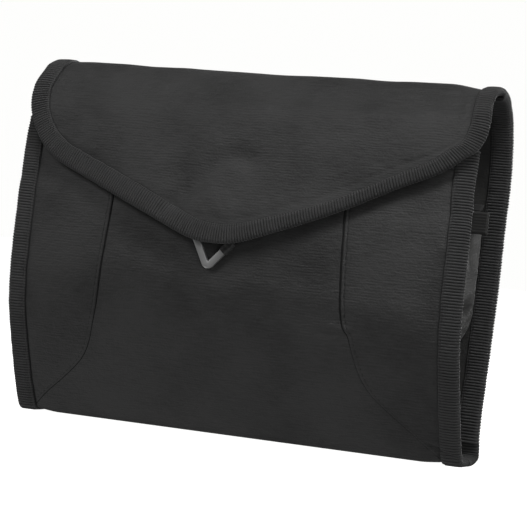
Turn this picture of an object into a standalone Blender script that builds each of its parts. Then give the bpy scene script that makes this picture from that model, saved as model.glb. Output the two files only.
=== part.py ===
"""A hanging toiletry bag: one bound strip of fabric folded round a zipped pocket.

Metres, +Z up. The bag stands on its bottom fold with its front facing -Y, and the origin is under
the middle of it. Every panel lies on a Sheet, a curved surface with an outward side. A depth is
measured inwards from that surface.
"""

import math

import bmesh
import bpy
from mathutils import Matrix, Vector

# Driving dimensions of the bag.
HALF_WIDTH = 0.135
REAR_FOLD_Y = 0.0294
FRONT_FOLD_Y = 0.004
FOLD_HEIGHT = 0.0044
REAR_CREASE = (0.0274, 0.197)
FRONT_CREASE = (-0.0066, 0.195)
FRONT_TOP = 0.168
PILLOW_POWER = 2.2

# Layers of fabric.
GAP = 0.0003
OUTER_THICKNESS = 0.0008
LINING_THICKNESS = 0.0006
FOAM_THICKNESS = 0.0025
TAPE_THICKNESS = 0.0006
BINDING_WIDTH = 0.011
BINDING_GAP = 0.0005
EDGE_INSET = TAPE_THICKNESS + GAP
BINDING_RISE = TAPE_THICKNESS + BINDING_GAP
PANEL_EDGE = HALF_WIDTH - EDGE_INSET
LINING_DEPTH = OUTER_THICKNESS + GAP
THIN_STACK = LINING_DEPTH + LINING_THICKNESS
BACK_LINING_DEPTH = LINING_DEPTH + FOAM_THICKNESS + GAP
BACK_STACK = BACK_LINING_DEPTH + LINING_THICKNESS
FOLD_CLEARANCE = 0.0006

# The flap: a point with a wide rounded tip between two large rounded corners.
FLAP_TIP = 0.1067
FLAP_TIP_RADIUS = 0.059
FLAP_CORNER_RADIUS = 0.050
FLAP_CORNER_HEIGHT = 0.1886
FLAP_TIP_SHIFT = -0.004
TIP_RISES = (0.0002, 0.0009, 0.0021, 0.0042)

# The hook-and-loop patches that hold the flap shut.
PATCH_HALF_WIDTH = 0.024
PATCH_LOW = 0.139
PATCH_HIGH = 0.155
PATCH_THICKNESS = 0.0013

# The ring and the webbing loop that holds it.
RING_SKEW = math.radians(7.5)
RING_BAR = Vector((FLAP_TIP_SHIFT, -0.0339, 0.1095))
RING_HALF_WIDTH = 0.0145
RING_DROP = 0.0173
RING_CORNER_RADIUS = 0.0019
RING_WIRE_WIDTH = 0.0031
RING_WIRE_THICKNESS = 0.0024
LOOP_HALF_WIDTH = 0.0098
LOOP_INNER_RADIUS = 0.00185
LOOP_THICKNESS = 0.0006
LOOP_TOP = 0.0215
LOOP_MERGE = 0.006
LOOP_LEAN = 0.18

# The zipped pocket on the back lining.
POCKET_HALF_WIDTH = 0.1239
POCKET_LOW = 0.0085
POCKET_HIGH = 0.126
POCKET_THICKNESS = 0.0006
POCKET_SIDE_THICKNESS = 0.0010
POCKET_CORNER = 0.0025
HEADER_RISE = 0.0035

# The zip: two tapes on one sloping plane, each with a row of teeth along its inner edge.
ZIP_FRONT = (0.0084, 0.1265)
ZIP_REAR = (0.0284, 0.1385)
ZIP_HALF_LENGTH = 0.1185
ZIP_STOP_REACH = 0.0025
TAB_Y = 0.0104
TAB_LOW = 0.1255
TAB_HIGH = 0.1375
TAB_THICKNESS = 0.0026
TAPE_SPAN = 0.0045
TEETH_SPAN = 0.0017
TEETH_THICKNESS = 0.0018
SLIDER_LENGTH = 0.0110
SLIDER_PARK = 0.1080
SLIDER_PLATE = 0.0012
SLIDER_WRAP = 0.0012
BRIDGE_HALF_LENGTH = 0.0037
BRIDGE_HALF_WIDTH = 0.0012
BRIDGE_WIRE = 0.0010
BRIDGE_CLEAR = 0.0020
BRIDGE_SINK = 0.0004
PULL_LENGTH = 0.024
PULL_HALF_WIDTH = 0.0030
PULL_THICKNESS = 0.0010
PULL_ARM = 0.0011

# The slip pocket of mesh on the front lining.
MESH_LOW = 0.024
MESH_HIGH = 0.108
MESH_HALF_WIDTH = 0.1195
MESH_THICKNESS = 0.0004
MESH_GAP = 0.0005
BAND_BEND = 0.110
BAND_HEIGHT = 0.012

# Fabric folds: (height or depth along the sheet, distance out), at the side edges and in the middle.
BACK_EDGE = [
    (0.0032, 0.0294), (0.025, 0.0300), (0.050, 0.0330), (0.075, 0.0356), (0.100, 0.0378),
    (0.130, 0.0384), (0.158, 0.0405), (0.176, 0.0382), (0.189, 0.0332), (0.197, 0.0274),
]
BACK_MIDDLE = [
    (0.0032, 0.0294), (0.025, 0.0310), (0.050, 0.0350), (0.075, 0.0380), (0.100, 0.0400),
    (0.130, 0.0407), (0.158, 0.0405), (0.176, 0.0382), (0.189, 0.0332), (0.197, 0.0274),
]
TOP_CURVE = [
    (-0.0066, 0.1950), (-0.001, 0.2001), (0.006, 0.2031), (0.014, 0.2039), (0.0200, 0.2022),
    (0.0274, 0.1970),
]
FLAP_EDGE = [
    (0.106, -0.0270), (0.125, -0.0230), (0.140, -0.0205), (0.155, -0.0185), (0.168, -0.0164),
    (0.178, -0.0143), (0.187, -0.0118), (0.195, -0.0066),
]
FLAP_MIDDLE = [
    (0.106, -0.0406), (0.125, -0.0356), (0.140, -0.0300), (0.155, -0.0262), (0.168, -0.0226),
    (0.178, -0.0190), (0.187, -0.0140), (0.195, -0.0066),
]
FRONT_EDGE = [
    (0.0032, 0.0040), (0.009, 0.0004), (0.022, -0.0056), (0.037, -0.0116), (0.050, -0.0166),
    (0.063, -0.0206), (0.080, -0.0226), (0.095, -0.0228), (0.110, -0.0221), (0.124, -0.0201),
    (0.135, -0.0171), (0.150, -0.0141), (0.168, -0.0110),
]
FRONT_MIDDLE = [
    (0.0032, 0.0040), (0.009, -0.0010), (0.022, -0.0100), (0.037, -0.0186), (0.050, -0.0246),
    (0.063, -0.0288), (0.080, -0.0316), (0.095, -0.0321), (0.110, -0.0311), (0.124, -0.0286),
    (0.135, -0.0256), (0.150, -0.0216), (0.168, -0.0166),
]
POCKET_EDGE = [
    (0.008, 0.0240), (0.013, 0.0110), (0.020, 0.0040), (0.035, -0.0030), (0.055, -0.0070),
    (0.080, -0.0080), (0.100, -0.0055), (0.115, 0.0005), (0.126, 0.0084),
]
POCKET_MIDDLE = [
    (0.008, 0.0240), (0.013, 0.0100), (0.020, 0.0020), (0.035, -0.0060), (0.055, -0.0105),
    (0.080, -0.0115), (0.100, -0.0085), (0.115, -0.0015), (0.126, 0.0084),
]
# Half the width of the front's centre panel at each height: its seams flare out to the bottom corners.
SEAM_CURVE = [
    (0.0032, 0.1235), (0.014, 0.1100), (0.022, 0.0995), (0.033, 0.0870), (0.042, 0.0810), (0.054, 0.0770),
    (0.068, 0.0738), (0.090, 0.0718), (0.125, 0.0698), (0.168, 0.0680),
]


# Maths.

def smooth(points, t):
    """The value at t of the smooth curve through (t, value) points."""
    last = len(points) - 1
    t = min(max(t, points[0][0]), points[last][0])
    i = next(k for k in range(last) if t <= points[k + 1][0])

    def slope(k):
        low, high = points[max(k - 1, 0)], points[min(k + 1, last)]
        return (high[1] - low[1]) / (high[0] - low[0])

    span = points[i + 1][0] - points[i][0]
    u = (t - points[i][0]) / span
    return (
        (2 * u**3 - 3 * u**2 + 1) * points[i][1]
        + (u**3 - 2 * u**2 + u) * span * slope(i)
        + (3 * u**2 - 2 * u**3) * points[i + 1][1]
        + (u**3 - u**2) * span * slope(i + 1)
    )


def spread(low, high, count):
    """Evenly spaced values from low to high, both included."""
    return [low + (high - low) * i / (count - 1) for i in range(count)]


class Sheet:
    """A curved surface, given by x across the width and by t, a height or a depth, along the fabric."""

    def __init__(self, edge, middle, outward, upright=True):
        self.edge = edge
        self.middle = middle
        self.outward = Vector(outward)
        self.upright = upright

    def surface(self, x, t):
        fullness = 1 - min(abs(x) / HALF_WIDTH, 1) ** PILLOW_POWER
        out = smooth(self.edge, t) * (1 - fullness) + smooth(self.middle, t) * fullness
        return Vector((x, out, t)) if self.upright else Vector((x, t, out))

    def normal(self, x, t):
        step = 0.0005
        across = self.surface(x + step, t) - self.surface(x - step, t)
        along = self.surface(x, t + step) - self.surface(x, t - step)
        normal = across.cross(along).normalized()
        return normal if normal.dot(self.outward) > 0 else -normal

    def point(self, x, t, depth):
        return self.surface(x, t) - self.normal(x, t) * depth


BACK = Sheet(BACK_EDGE, BACK_MIDDLE, (0, 1, 0))
TOP = Sheet(TOP_CURVE, TOP_CURVE, (0, 0, 1), upright=False)
FLAP = Sheet(FLAP_EDGE, FLAP_MIDDLE, (0, -1, 0))
FRONT = Sheet(FRONT_EDGE, FRONT_MIDDLE, (0, -1, 0))
BASE_CURVE = [(FRONT_FOLD_Y, BINDING_RISE), (REAR_FOLD_Y, BINDING_RISE)]
BASE = Sheet(BASE_CURVE, BASE_CURVE, (0, 0, -1), upright=False)
POCKET = Sheet(POCKET_EDGE, POCKET_MIDDLE, (0, -1, 0))
ZIP = Sheet([ZIP_FRONT, ZIP_REAR], [ZIP_FRONT, ZIP_REAR], (0, 0, 1), upright=False)


# Mesh building.

def clear_scene():
    for obj in list(bpy.data.objects):
        bpy.data.objects.remove(obj)


def material(name, colour, roughness, metallic=0.0):
    made = bpy.data.materials.new(name)
    made.use_nodes = True
    shader = made.node_tree.nodes["Principled BSDF"]
    shader.inputs["Base Color"].default_value = (*colour, 1)
    shader.inputs["Roughness"].default_value = roughness
    shader.inputs["Metallic"].default_value = metallic
    return made


def add_object(name, points, faces, finish, origin=(0, 0, 0)):
    """A named object from points in world space, with its own origin."""
    mesh = bpy.data.meshes.new(name)
    mesh.from_pydata([Vector(point) - Vector(origin) for point in points], [], faces)
    edit = bmesh.new()
    edit.from_mesh(mesh)
    bmesh.ops.recalc_face_normals(edit, faces=edit.faces)
    edit.to_mesh(mesh)
    edit.free()
    mesh.shade_smooth()
    mesh.set_sharp_from_angle(angle=math.radians(35))
    obj = bpy.data.objects.new(name, mesh)
    obj.location = origin
    mesh.materials.append(material(name, *finish))
    bpy.context.scene.collection.objects.link(obj)
    return obj


def loft(name, sections, finish, closed=False, origin=(0, 0, 0)):
    """A solid through matching closed sections, capped at both ends unless it closes on itself."""
    size = len(sections[0])
    count = len(sections)
    points = [point for section in sections for point in section]
    faces = []
    for i in range(count if closed else count - 1):
        here, there = i * size, (i + 1) % count * size
        for k in range(size):
            turn = (k + 1) % size
            faces.append((here + k, here + turn, there + turn, there + k))
    if not closed:
        faces.append(tuple(range(size)))
        faces.append(tuple(range((count - 1) * size, count * size)))
    return add_object(name, points, faces, finish, origin)


def slab(name, sheet, rows, left, right, depth, thickness, finish, columns=6):
    """A layer of fabric on a sheet, between the x limits that left and right give at each row.

    Its triangles lie alike on every layer, so layers a gap apart never touch.
    """
    shares = edge_shares(columns)
    points = []
    for d in (depth, depth + thickness):
        for t in rows:
            points += [sheet.point(left(t) + share * (right(t) - left(t)), t, d) for share in shares]
    wide, tall = len(shares), len(rows)

    def corner(layer, i, k):
        return (layer * tall + i) * wide + k

    faces = []
    for i in range(tall - 1):
        for k in range(wide - 1):
            for layer in (0, 1):
                a, b = corner(layer, i, k), corner(layer, i, k + 1)
                c, d = corner(layer, i + 1, k + 1), corner(layer, i + 1, k)
                faces += [(a, b, c), (a, c, d)]
    for i in range(tall - 1):
        for k in (0, wide - 1):
            faces.append((corner(0, i, k), corner(0, i + 1, k), corner(1, i + 1, k), corner(1, i, k)))
    for k in range(wide - 1):
        for i in (0, tall - 1):
            faces.append((corner(0, i, k), corner(0, i, k + 1), corner(1, i, k + 1), corner(1, i, k)))
    return add_object(name, points, faces, finish)


def edge_shares(columns):
    """Shares of the width, from 0 to 1, with a narrow column under the binding at each side."""
    if columns < 4:
        return spread(0, 1, columns + 1)
    narrow = BINDING_WIDTH / (2 * HALF_WIDTH)
    return [0] + spread(narrow, 1 - narrow, columns - 1) + [1]


def flat(value):
    """The same x limit at every row."""
    return lambda t: value


def prism(name, sheet, outline, left, right, finish, origin=(0, 0, 0)):
    """An outline of (t, depth) points on a sheet, carried straight across from left to right."""
    sections = [[sheet.point(x, t, depth) for t, depth in outline] for x in (left, right)]
    return loft(name, sections, finish, origin=origin)


def unite(target, tool):
    """Joins the tool to the target, and hides the tool."""
    join(target, tool, "UNION")


def cut(target, tool):
    join(target, tool, "DIFFERENCE")


def join(target, tool, operation):
    boolean = target.modifiers.new(operation.lower(), "BOOLEAN")
    boolean.operation = operation
    boolean.object = tool
    tool.hide_render = True
    tool.display_type = "WIRE"


# The binding: ribbed tape folded round the fabric's edge.

def binding(name, sheet, path, stack, finish):
    """Folded tape along a path of (x, t, inward x, inward t), round fabric that is stack deep."""
    outer, inner = -BINDING_RISE, stack + BINDING_RISE
    outline = [
        (0, outer), (BINDING_WIDTH, outer), (BINDING_WIDTH, outer + TAPE_THICKNESS),
        (TAPE_THICKNESS, outer + TAPE_THICKNESS), (TAPE_THICKNESS, inner - TAPE_THICKNESS),
        (BINDING_WIDTH, inner - TAPE_THICKNESS), (BINDING_WIDTH, inner), (0, inner),
    ]
    sections = [
        [sheet.point(x + u * into_x, t + u * into_t, depth) for u, depth in outline]
        for x, t, into_x, into_t in path
    ]
    return loft(name, sections, finish)


def side_path(rows, side):
    """A path up one side edge: side is 1 at +X and -1 at -X."""
    return [(side * HALF_WIDTH, t, -side, 0) for t in rows]


def side_bindings(prefix, sheet, rows, stack):
    for side, word in ((-1, "left"), (1, "right")):
        binding(f"{prefix}_binding_{word}", sheet, side_path(rows, side), stack, BINDING_FINISH)


# Finishes: colour, roughness, metallic.
SHELL_FINISH = ((0.030, 0.030, 0.029), 0.60)
BINDING_FINISH = ((0.022, 0.022, 0.021), 0.70)
LINING_FINISH = ((0.060, 0.060, 0.058), 0.65)
POCKET_FINISH = ((0.130, 0.130, 0.127), 0.55)
FOAM_FINISH = ((0.200, 0.200, 0.200), 0.90)
MESH_FINISH = ((0.040, 0.040, 0.040), 0.80)
VELCRO_FINISH = ((0.020, 0.020, 0.020), 0.95)
ZIP_TAPE_FINISH = ((0.025, 0.025, 0.025), 0.75)
ZIP_TEETH_FINISH = ((0.030, 0.030, 0.030), 0.40)
METAL_FINISH = ((0.420, 0.420, 0.420), 0.35, 1.0)


# The back, which everything else hangs on.

def back():
    rows = spread(FOLD_HEIGHT, REAR_CREASE[1] - FOLD_CLEARANCE, 12)
    left, right = flat(-PANEL_EDGE), flat(PANEL_EDGE)
    slab("back_panel", BACK, rows, left, right, 0, OUTER_THICKNESS, SHELL_FINISH)
    slab("back_foam", BACK, rows, left, right, LINING_DEPTH, FOAM_THICKNESS, FOAM_FINISH)
    slab("back_lining", BACK, rows, left, right, BACK_LINING_DEPTH, LINING_THICKNESS, LINING_FINISH)
    side_bindings("back", BACK, rows, BACK_STACK)


def top_strip():
    rows = spread(FRONT_CREASE[0] + FOLD_CLEARANCE, REAR_CREASE[0] - FOLD_CLEARANCE, 8)
    left, right = flat(-PANEL_EDGE), flat(PANEL_EDGE)
    slab("top_panel", TOP, rows, left, right, 0, OUTER_THICKNESS, SHELL_FINISH, columns=2)
    slab("top_lining", TOP, rows, left, right, LINING_DEPTH, LINING_THICKNESS, LINING_FINISH, columns=2)
    side_bindings("top", TOP, rows, THIN_STACK)


def bottom_strip():
    """The panel is flush with its bindings, and the bag stands on it."""
    rows = spread(FRONT_FOLD_Y + FOLD_CLEARANCE, REAR_FOLD_Y - FOLD_CLEARANCE, 3)
    between = HALF_WIDTH - BINDING_WIDTH - GAP
    slab("bottom_panel", BASE, rows, flat(-between), flat(between), -BINDING_RISE, OUTER_THICKNESS,
         SHELL_FINISH, columns=2)
    slab("bottom_lining", BASE, rows, flat(-PANEL_EDGE), flat(PANEL_EDGE), LINING_DEPTH, LINING_THICKNESS,
         LINING_FINISH, columns=2)
    side_bindings("bottom", BASE, rows, THIN_STACK)


# The flap.

def flap_circles(inset):
    """Centre x, centre height and radius of the rounded tip and of the rounded corner at +X."""
    tip = (0, FLAP_TIP + FLAP_TIP_RADIUS, FLAP_TIP_RADIUS - inset)
    corner = (HALF_WIDTH - FLAP_CORNER_RADIUS, FLAP_CORNER_HEIGHT, FLAP_CORNER_RADIUS - inset)
    return tip, corner


def flap_slope():
    """Angle above level of the straight edge that is tangent to the tip and the corner."""
    tip, corner = flap_circles(0)
    run, rise = corner[0] - tip[0], corner[1] - tip[1]
    return math.atan2(rise, run) + math.asin((tip[2] - corner[2]) / math.hypot(run, rise))


def tip_lean(x):
    """How far the fabric at x is pulled to the side on which the tip sits."""
    return FLAP_TIP_SHIFT * (1 - min(abs(x) / HALF_WIDTH, 1))


def flap_half_width(height, inset):
    tip, corner = flap_circles(inset)
    drop = -math.pi / 2 + flap_slope()
    ends = [(c[0] + c[2] * math.cos(drop), c[1] + c[2] * math.sin(drop)) for c in (tip, corner)]
    if height >= corner[1]:
        return HALF_WIDTH - inset
    if height >= ends[1][1]:
        return corner[0] + math.sqrt(corner[2] ** 2 - (height - corner[1]) ** 2)
    if height >= ends[0][1]:
        share = (height - ends[0][1]) / (ends[1][1] - ends[0][1])
        return ends[0][0] + share * (ends[1][0] - ends[0][0])
    return math.sqrt(max(tip[2] ** 2 - (height - tip[1]) ** 2, 0))


def flap_outline():
    """Path along the flap's edge, from the crease at -X round the tip to the crease at +X."""
    tip, corner = flap_circles(0)
    drop = -math.pi / 2 + flap_slope()
    half = [(HALF_WIDTH, FRONT_CREASE[1] - FOLD_CLEARANCE, 0.0)]
    half += [
        (corner[0] + corner[2] * math.cos(a), corner[1] + corner[2] * math.sin(a), a)
        for a in spread(0, drop, 9)
    ]
    start, end = half[-1], (tip[0] + tip[2] * math.cos(drop), tip[1] + tip[2] * math.sin(drop))
    half += [
        (start[0] + share * (end[0] - start[0]), start[1] + share * (end[1] - start[1]), drop)
        for share in spread(0, 1, 6)[1:-1]
    ]
    half += [
        (tip[0] + tip[2] * math.cos(a), tip[1] + tip[2] * math.sin(a), a)
        for a in spread(drop, -math.pi / 2, 5)
    ]
    right = [(x, t, -math.cos(a), -math.sin(a)) for x, t, a in half]
    left = [(-x, t, -into_x, into_t) for x, t, into_x, into_t in right[:-1]]
    path = left + right[::-1]
    return [(x + tip_lean(x), t, into_x, into_t) for x, t, into_x, into_t in path]


def flap_rows():
    """Heights of the flap's rows, close together where the tip rounds off."""
    tip, corner = flap_circles(EDGE_INSET)
    lowest = tip[1] - tip[2]
    rows = [lowest + rise for rise in TIP_RISES]
    return rows[:-1] + spread(rows[-1], corner[1], 11) + [FRONT_CREASE[1] - FOLD_CLEARANCE]


def flap():
    def left(t):
        half = flap_half_width(t, EDGE_INSET)
        return -half + tip_lean(half)

    def right(t):
        half = flap_half_width(t, EDGE_INSET)
        return half + tip_lean(half)

    rows = flap_rows()
    slab("flap_panel", FLAP, rows, left, right, 0, OUTER_THICKNESS, SHELL_FINISH, columns=10)
    slab("flap_lining", FLAP, rows, left, right, LINING_DEPTH, LINING_THICKNESS, LINING_FINISH,
         columns=10)
    binding("flap_binding", FLAP, flap_outline(), THIN_STACK, BINDING_FINISH)
    patch(FLAP, "closure_hook_patch", THIN_STACK + GAP)


def patch(sheet, name, depth):
    left, right = flat(FLAP_TIP_SHIFT - PATCH_HALF_WIDTH), flat(FLAP_TIP_SHIFT + PATCH_HALF_WIDTH)
    slab(name, sheet, spread(PATCH_LOW, PATCH_HIGH, 4), left, right, depth, PATCH_THICKNESS,
         VELCRO_FINISH, columns=4)


# The ring at the flap's tip.

def hang(across, out, up):
    """World point from a place beside the ring's bar, turned by the ring's slight skew."""
    turned = Matrix.Rotation(RING_SKEW, 4, "Y") @ Vector((across, out, up))
    return RING_BAR + turned


def ring_centreline():
    """Rounded triangle, point down, with its top bar through the origin of hang()."""
    corners = [(-RING_HALF_WIDTH, 0), (0, -RING_DROP), (RING_HALF_WIDTH, 0)]
    path = []
    for i, corner in enumerate(corners):
        here = Vector(corner)
        before = (Vector(corners[i - 1]) - here).normalized()
        after = (Vector(corners[(i + 1) % 3]) - here).normalized()
        half_angle = before.angle(after) / 2
        centre = here + (before + after).normalized() * RING_CORNER_RADIUS / math.sin(half_angle)
        start = here + before * RING_CORNER_RADIUS / math.tan(half_angle) - centre
        end = here + after * RING_CORNER_RADIUS / math.tan(half_angle) - centre
        turn = start.angle_signed(end)
        for share in spread(0, 1, 6):
            arm = Matrix.Rotation(-turn * share, 2) @ start
            path.append((centre + arm, arm.normalized()))
    return path


def ring():
    section = [
        (math.cos(a) * RING_WIRE_WIDTH / 2, math.sin(a) * RING_WIRE_THICKNESS / 2)
        for a in [math.tau * (k + 0.5) / 10 for k in range(10)]
    ]
    sections = [
        [hang(place.x + away.x * u, v, place.y + away.y * u) for u, v in section]
        for place, away in ring_centreline()
    ]
    return loft("hanger_ring", sections, METAL_FINISH, closed=True, origin=RING_BAR)


def loop_outline(radius, tail):
    """One side of the webbing: down one end, round the bar and up the other."""
    outline = [(tail + LOOP_LEAN * up, up) for up in (LOOP_TOP, LOOP_MERGE)]
    outline += [(radius * math.cos(a), -radius * math.sin(a)) for a in spread(0, math.pi, 9)]
    outline += [(-tail + LOOP_LEAN * up, up) for up in (LOOP_MERGE, LOOP_TOP)]
    return outline


def hanger_loop():
    """Webbing folded round the ring's bar. Its two ends lie together and lean back with the flap."""
    outer = loop_outline(LOOP_INNER_RADIUS + LOOP_THICKNESS, GAP / 2 + LOOP_THICKNESS)
    inner = loop_outline(LOOP_INNER_RADIUS, GAP / 2)
    sections = [
        [hang(x, out, up) for out, up in outer + inner[::-1]]
        for x in (-LOOP_HALF_WIDTH, LOOP_HALF_WIDTH)
    ]
    return loft("hanger_loop", sections, BINDING_FINISH)


# The front.

def seam(t):
    return smooth(SEAM_CURVE, t)


def front():
    rows = [FOLD_HEIGHT] + [point[0] for point in FRONT_EDGE[1:]]
    slab("front_center_panel", FRONT, rows, lambda t: GAP - seam(t), lambda t: seam(t) - GAP, 0,
         OUTER_THICKNESS, SHELL_FINISH)
    slab("front_side_panel_left", FRONT, rows, flat(-PANEL_EDGE), lambda t: -seam(t), 0,
         OUTER_THICKNESS, SHELL_FINISH, columns=2)
    slab("front_side_panel_right", FRONT, rows, seam, flat(PANEL_EDGE), 0, OUTER_THICKNESS,
         SHELL_FINISH, columns=2)
    slab("front_lining", FRONT, rows, flat(-PANEL_EDGE), flat(PANEL_EDGE), LINING_DEPTH, LINING_THICKNESS,
         LINING_FINISH, columns=12)
    side_bindings("front", FRONT, rows[:-1] + [FRONT_TOP + EDGE_INSET], THIN_STACK)
    between = HALF_WIDTH - BINDING_WIDTH - GAP
    top_path = [(x, FRONT_TOP + EDGE_INSET, 0, -1) for x in spread(-between, between, 11)]
    binding("front_top_binding", FRONT, top_path, THIN_STACK, BINDING_FINISH)
    patch(FRONT, "closure_loop_patch", -GAP - PATCH_THICKNESS)


def mesh_pocket():
    """A flat slip pocket of mesh, with a bound mouth, on the inside of the front."""
    left, right = flat(-MESH_HALF_WIDTH), flat(MESH_HALF_WIDTH)
    depth = THIN_STACK + MESH_GAP
    rows = [t for t, _ in FRONT_EDGE if MESH_LOW < t < MESH_HIGH]
    slab("mesh_pocket", FRONT, [MESH_LOW] + rows + [MESH_HIGH], left, right, depth,
         MESH_THICKNESS, MESH_FINISH, columns=12)
    band_rows = [MESH_HIGH + GAP, BAND_BEND, MESH_HIGH + BAND_HEIGHT]
    slab("mesh_pocket_band", FRONT, band_rows, left, right, depth, 2 * TAPE_THICKNESS,
         BINDING_FINISH, columns=12)


# The zipped pocket.

def pocket():
    rows = [POCKET_LOW] + [t for t, _ in POCKET_EDGE[1:-1]] + [POCKET_HIGH]
    slab("pocket_face", POCKET, rows, flat(-POCKET_HALF_WIDTH), flat(POCKET_HALF_WIDTH), 0,
         POCKET_THICKNESS, POCKET_FINISH)
    for side, word in ((-1, "left"), (1, "right")):
        pocket_side(word, side, rows)
    pocket_header()


def pocket_side(word, side, rows):
    """The end wall of the pocket, from its face back to the binding of the back."""
    near = side * (POCKET_HALF_WIDTH + GAP)
    far = near + side * POCKET_SIDE_THICKNESS
    profile = [(smooth(POCKET_EDGE, t), t) for t in rows]
    profile += [(ZIP_REAR[0] + shift, ZIP_REAR[1] + shift) for shift in (-POCKET_CORNER, POCKET_CORNER)]
    reach = BACK_STACK + BINDING_RISE + GAP
    sections = []
    for front_y, height in profile:
        rear_y = smooth(BACK_EDGE, height) - reach
        corners = ((near, front_y), (near, rear_y), (far, rear_y), (far, front_y))
        sections.append([(x, y, height) for x, y in corners])
    loft(f"pocket_side_{word}", sections, POCKET_FINISH)


def pocket_header():
    """The strip that joins the zip's upper tape to the back lining."""
    start = (ZIP_REAR[0] + 2 * GAP, ZIP_REAR[1] + GAP)
    end_z = start[1] + HEADER_RISE
    end = (smooth(BACK_EDGE, end_z) - BACK_STACK - BINDING_RISE, end_z)
    sheet = Sheet([start, end], [start, end], (0, 0, 1), upright=False)
    slab("pocket_header", sheet, [start[0], end[0]], flat(-POCKET_HALF_WIDTH), flat(POCKET_HALF_WIDTH),
         0, POCKET_THICKNESS, POCKET_FINISH, columns=1)


# The zip.

def zip_slope():
    run, rise = ZIP_REAR[0] - ZIP_FRONT[0], ZIP_REAR[1] - ZIP_FRONT[1]
    return math.atan2(rise, run)


def zip_tapes():
    """The two tapes and their rows of teeth. Returns the y limits of each row."""
    lower_start, upper_end = ZIP_FRONT[0] + GAP, ZIP_REAR[0] - GAP
    lower_end, upper_start = lower_start + TAPE_SPAN, upper_end - TAPE_SPAN
    lower_teeth = (lower_end + GAP, lower_end + GAP + TEETH_SPAN)
    upper_teeth = (upper_start - GAP - TEETH_SPAN, upper_start - GAP)
    for word, low, high in (("lower", lower_start, lower_end), ("upper", upper_start, upper_end)):
        slab(f"zip_tape_{word}", ZIP, [low, high], flat(-POCKET_HALF_WIDTH), flat(POCKET_HALF_WIDTH), 0,
             POCKET_THICKNESS, ZIP_TAPE_FINISH, columns=1)
    rise = (TEETH_THICKNESS - POCKET_THICKNESS) / 2
    for word, (low, high) in (("lower", lower_teeth), ("upper", upper_teeth)):
        slab(f"zip_teeth_{word}", ZIP, [low, high], flat(-ZIP_HALF_LENGTH), flat(ZIP_HALF_LENGTH), -rise,
             TEETH_THICKNESS, ZIP_TEETH_FINISH, columns=1)
    return lower_teeth, upper_teeth


def zip_end_stops(lower_teeth, upper_teeth):
    """A bar across both rows of teeth at each end."""
    rise = (TEETH_THICKNESS - POCKET_THICKNESS) / 2
    for side, word in ((-1, "left"), (1, "right")):
        near, far = side * (ZIP_HALF_LENGTH + GAP), side * (ZIP_HALF_LENGTH + ZIP_STOP_REACH)
        slab(f"zip_end_stop_{word}", ZIP, [lower_teeth[0], upper_teeth[1]], flat(min(near, far)),
             flat(max(near, far)), -rise, TEETH_THICKNESS, METAL_FINISH, columns=1)


def zip_end_tabs():
    """A folded tab of fabric that stands out sideways at each end of the zip."""
    front_y, rear_y = TAB_Y - TAB_THICKNESS / 2, TAB_Y + TAB_THICKNESS / 2
    corners = [(front_y, TAB_LOW), (rear_y, TAB_LOW), (rear_y, TAB_HIGH), (front_y, TAB_HIGH)]
    inner = POCKET_HALF_WIDTH + POCKET_SIDE_THICKNESS + 2 * GAP
    for side, word in ((-1, "left"), (1, "right")):
        sections = [[(side * x, y, z) for y, z in corners] for x in (inner, HALF_WIDTH - GAP)]
        loft(f"zip_tab_{word}", sections, BINDING_FINISH)


def zip_slider(lower_teeth, upper_teeth):
    """Two plates joined by a post that stands between the rows, with a bridge for the pull on top."""
    middle = (lower_teeth[0] + upper_teeth[1]) / 2
    rise = (TEETH_THICKNESS - POCKET_THICKNESS) / 2
    top, bottom = -rise - GAP, -rise + TEETH_THICKNESS + GAP
    low, high = lower_teeth[0] - SLIDER_WRAP / 2, upper_teeth[1] + SLIDER_WRAP / 2
    post_low, post_high = lower_teeth[1] + GAP, upper_teeth[0] - GAP
    outline = [
        (low, top - SLIDER_PLATE), (high, top - SLIDER_PLATE), (high, top), (post_high, top),
        (post_high, bottom), (high, bottom), (high, bottom + SLIDER_PLATE), (low, bottom + SLIDER_PLATE),
        (low, bottom), (post_low, bottom), (post_low, top), (low, top),
    ]
    origin = ZIP.point(SLIDER_PARK, middle, 0)
    left, right = SLIDER_PARK - SLIDER_LENGTH / 2, SLIDER_PARK + SLIDER_LENGTH / 2
    body = prism("zip_slider", ZIP, outline, left, right, METAL_FINISH, origin)
    plate_top = top - SLIDER_PLATE
    unite(body, pull_bridge(middle, plate_top))
    zip_pull(middle, plate_top - BRIDGE_CLEAR / 2)


def pull_bridge(middle, plate_top):
    """A small arch along the slider, sunk a little into its plate."""
    foot = plate_top + BRIDGE_SINK
    roof = plate_top - BRIDGE_CLEAR
    inner, outer = BRIDGE_HALF_LENGTH - BRIDGE_WIRE, BRIDGE_HALF_LENGTH
    arch = [
        (-outer, foot), (-outer, roof - BRIDGE_WIRE), (outer, roof - BRIDGE_WIRE), (outer, foot),
        (inner, foot), (inner, roof), (-inner, roof), (-inner, foot),
    ]
    half = BRIDGE_HALF_WIDTH * math.cos(zip_slope())
    sections = [
        [ZIP.point(SLIDER_PARK + x, y, depth) for x, depth in arch]
        for y in (middle - half, middle + half)
    ]
    return loft("pull_bridge_tool", sections, METAL_FINISH)


def plate_on_zip(name, x_limits, half_width, middle, depth_limits, origin=(0, 0, 0)):
    """A block over the middle of the zip, half_width to each side of it along the slope."""
    half = half_width * math.cos(zip_slope())
    outline = [(middle - half, depth_limits[0]), (middle + half, depth_limits[0]),
               (middle + half, depth_limits[1]), (middle - half, depth_limits[1])]
    return prism(name, ZIP, outline, *x_limits, METAL_FINISH, origin)


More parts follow.
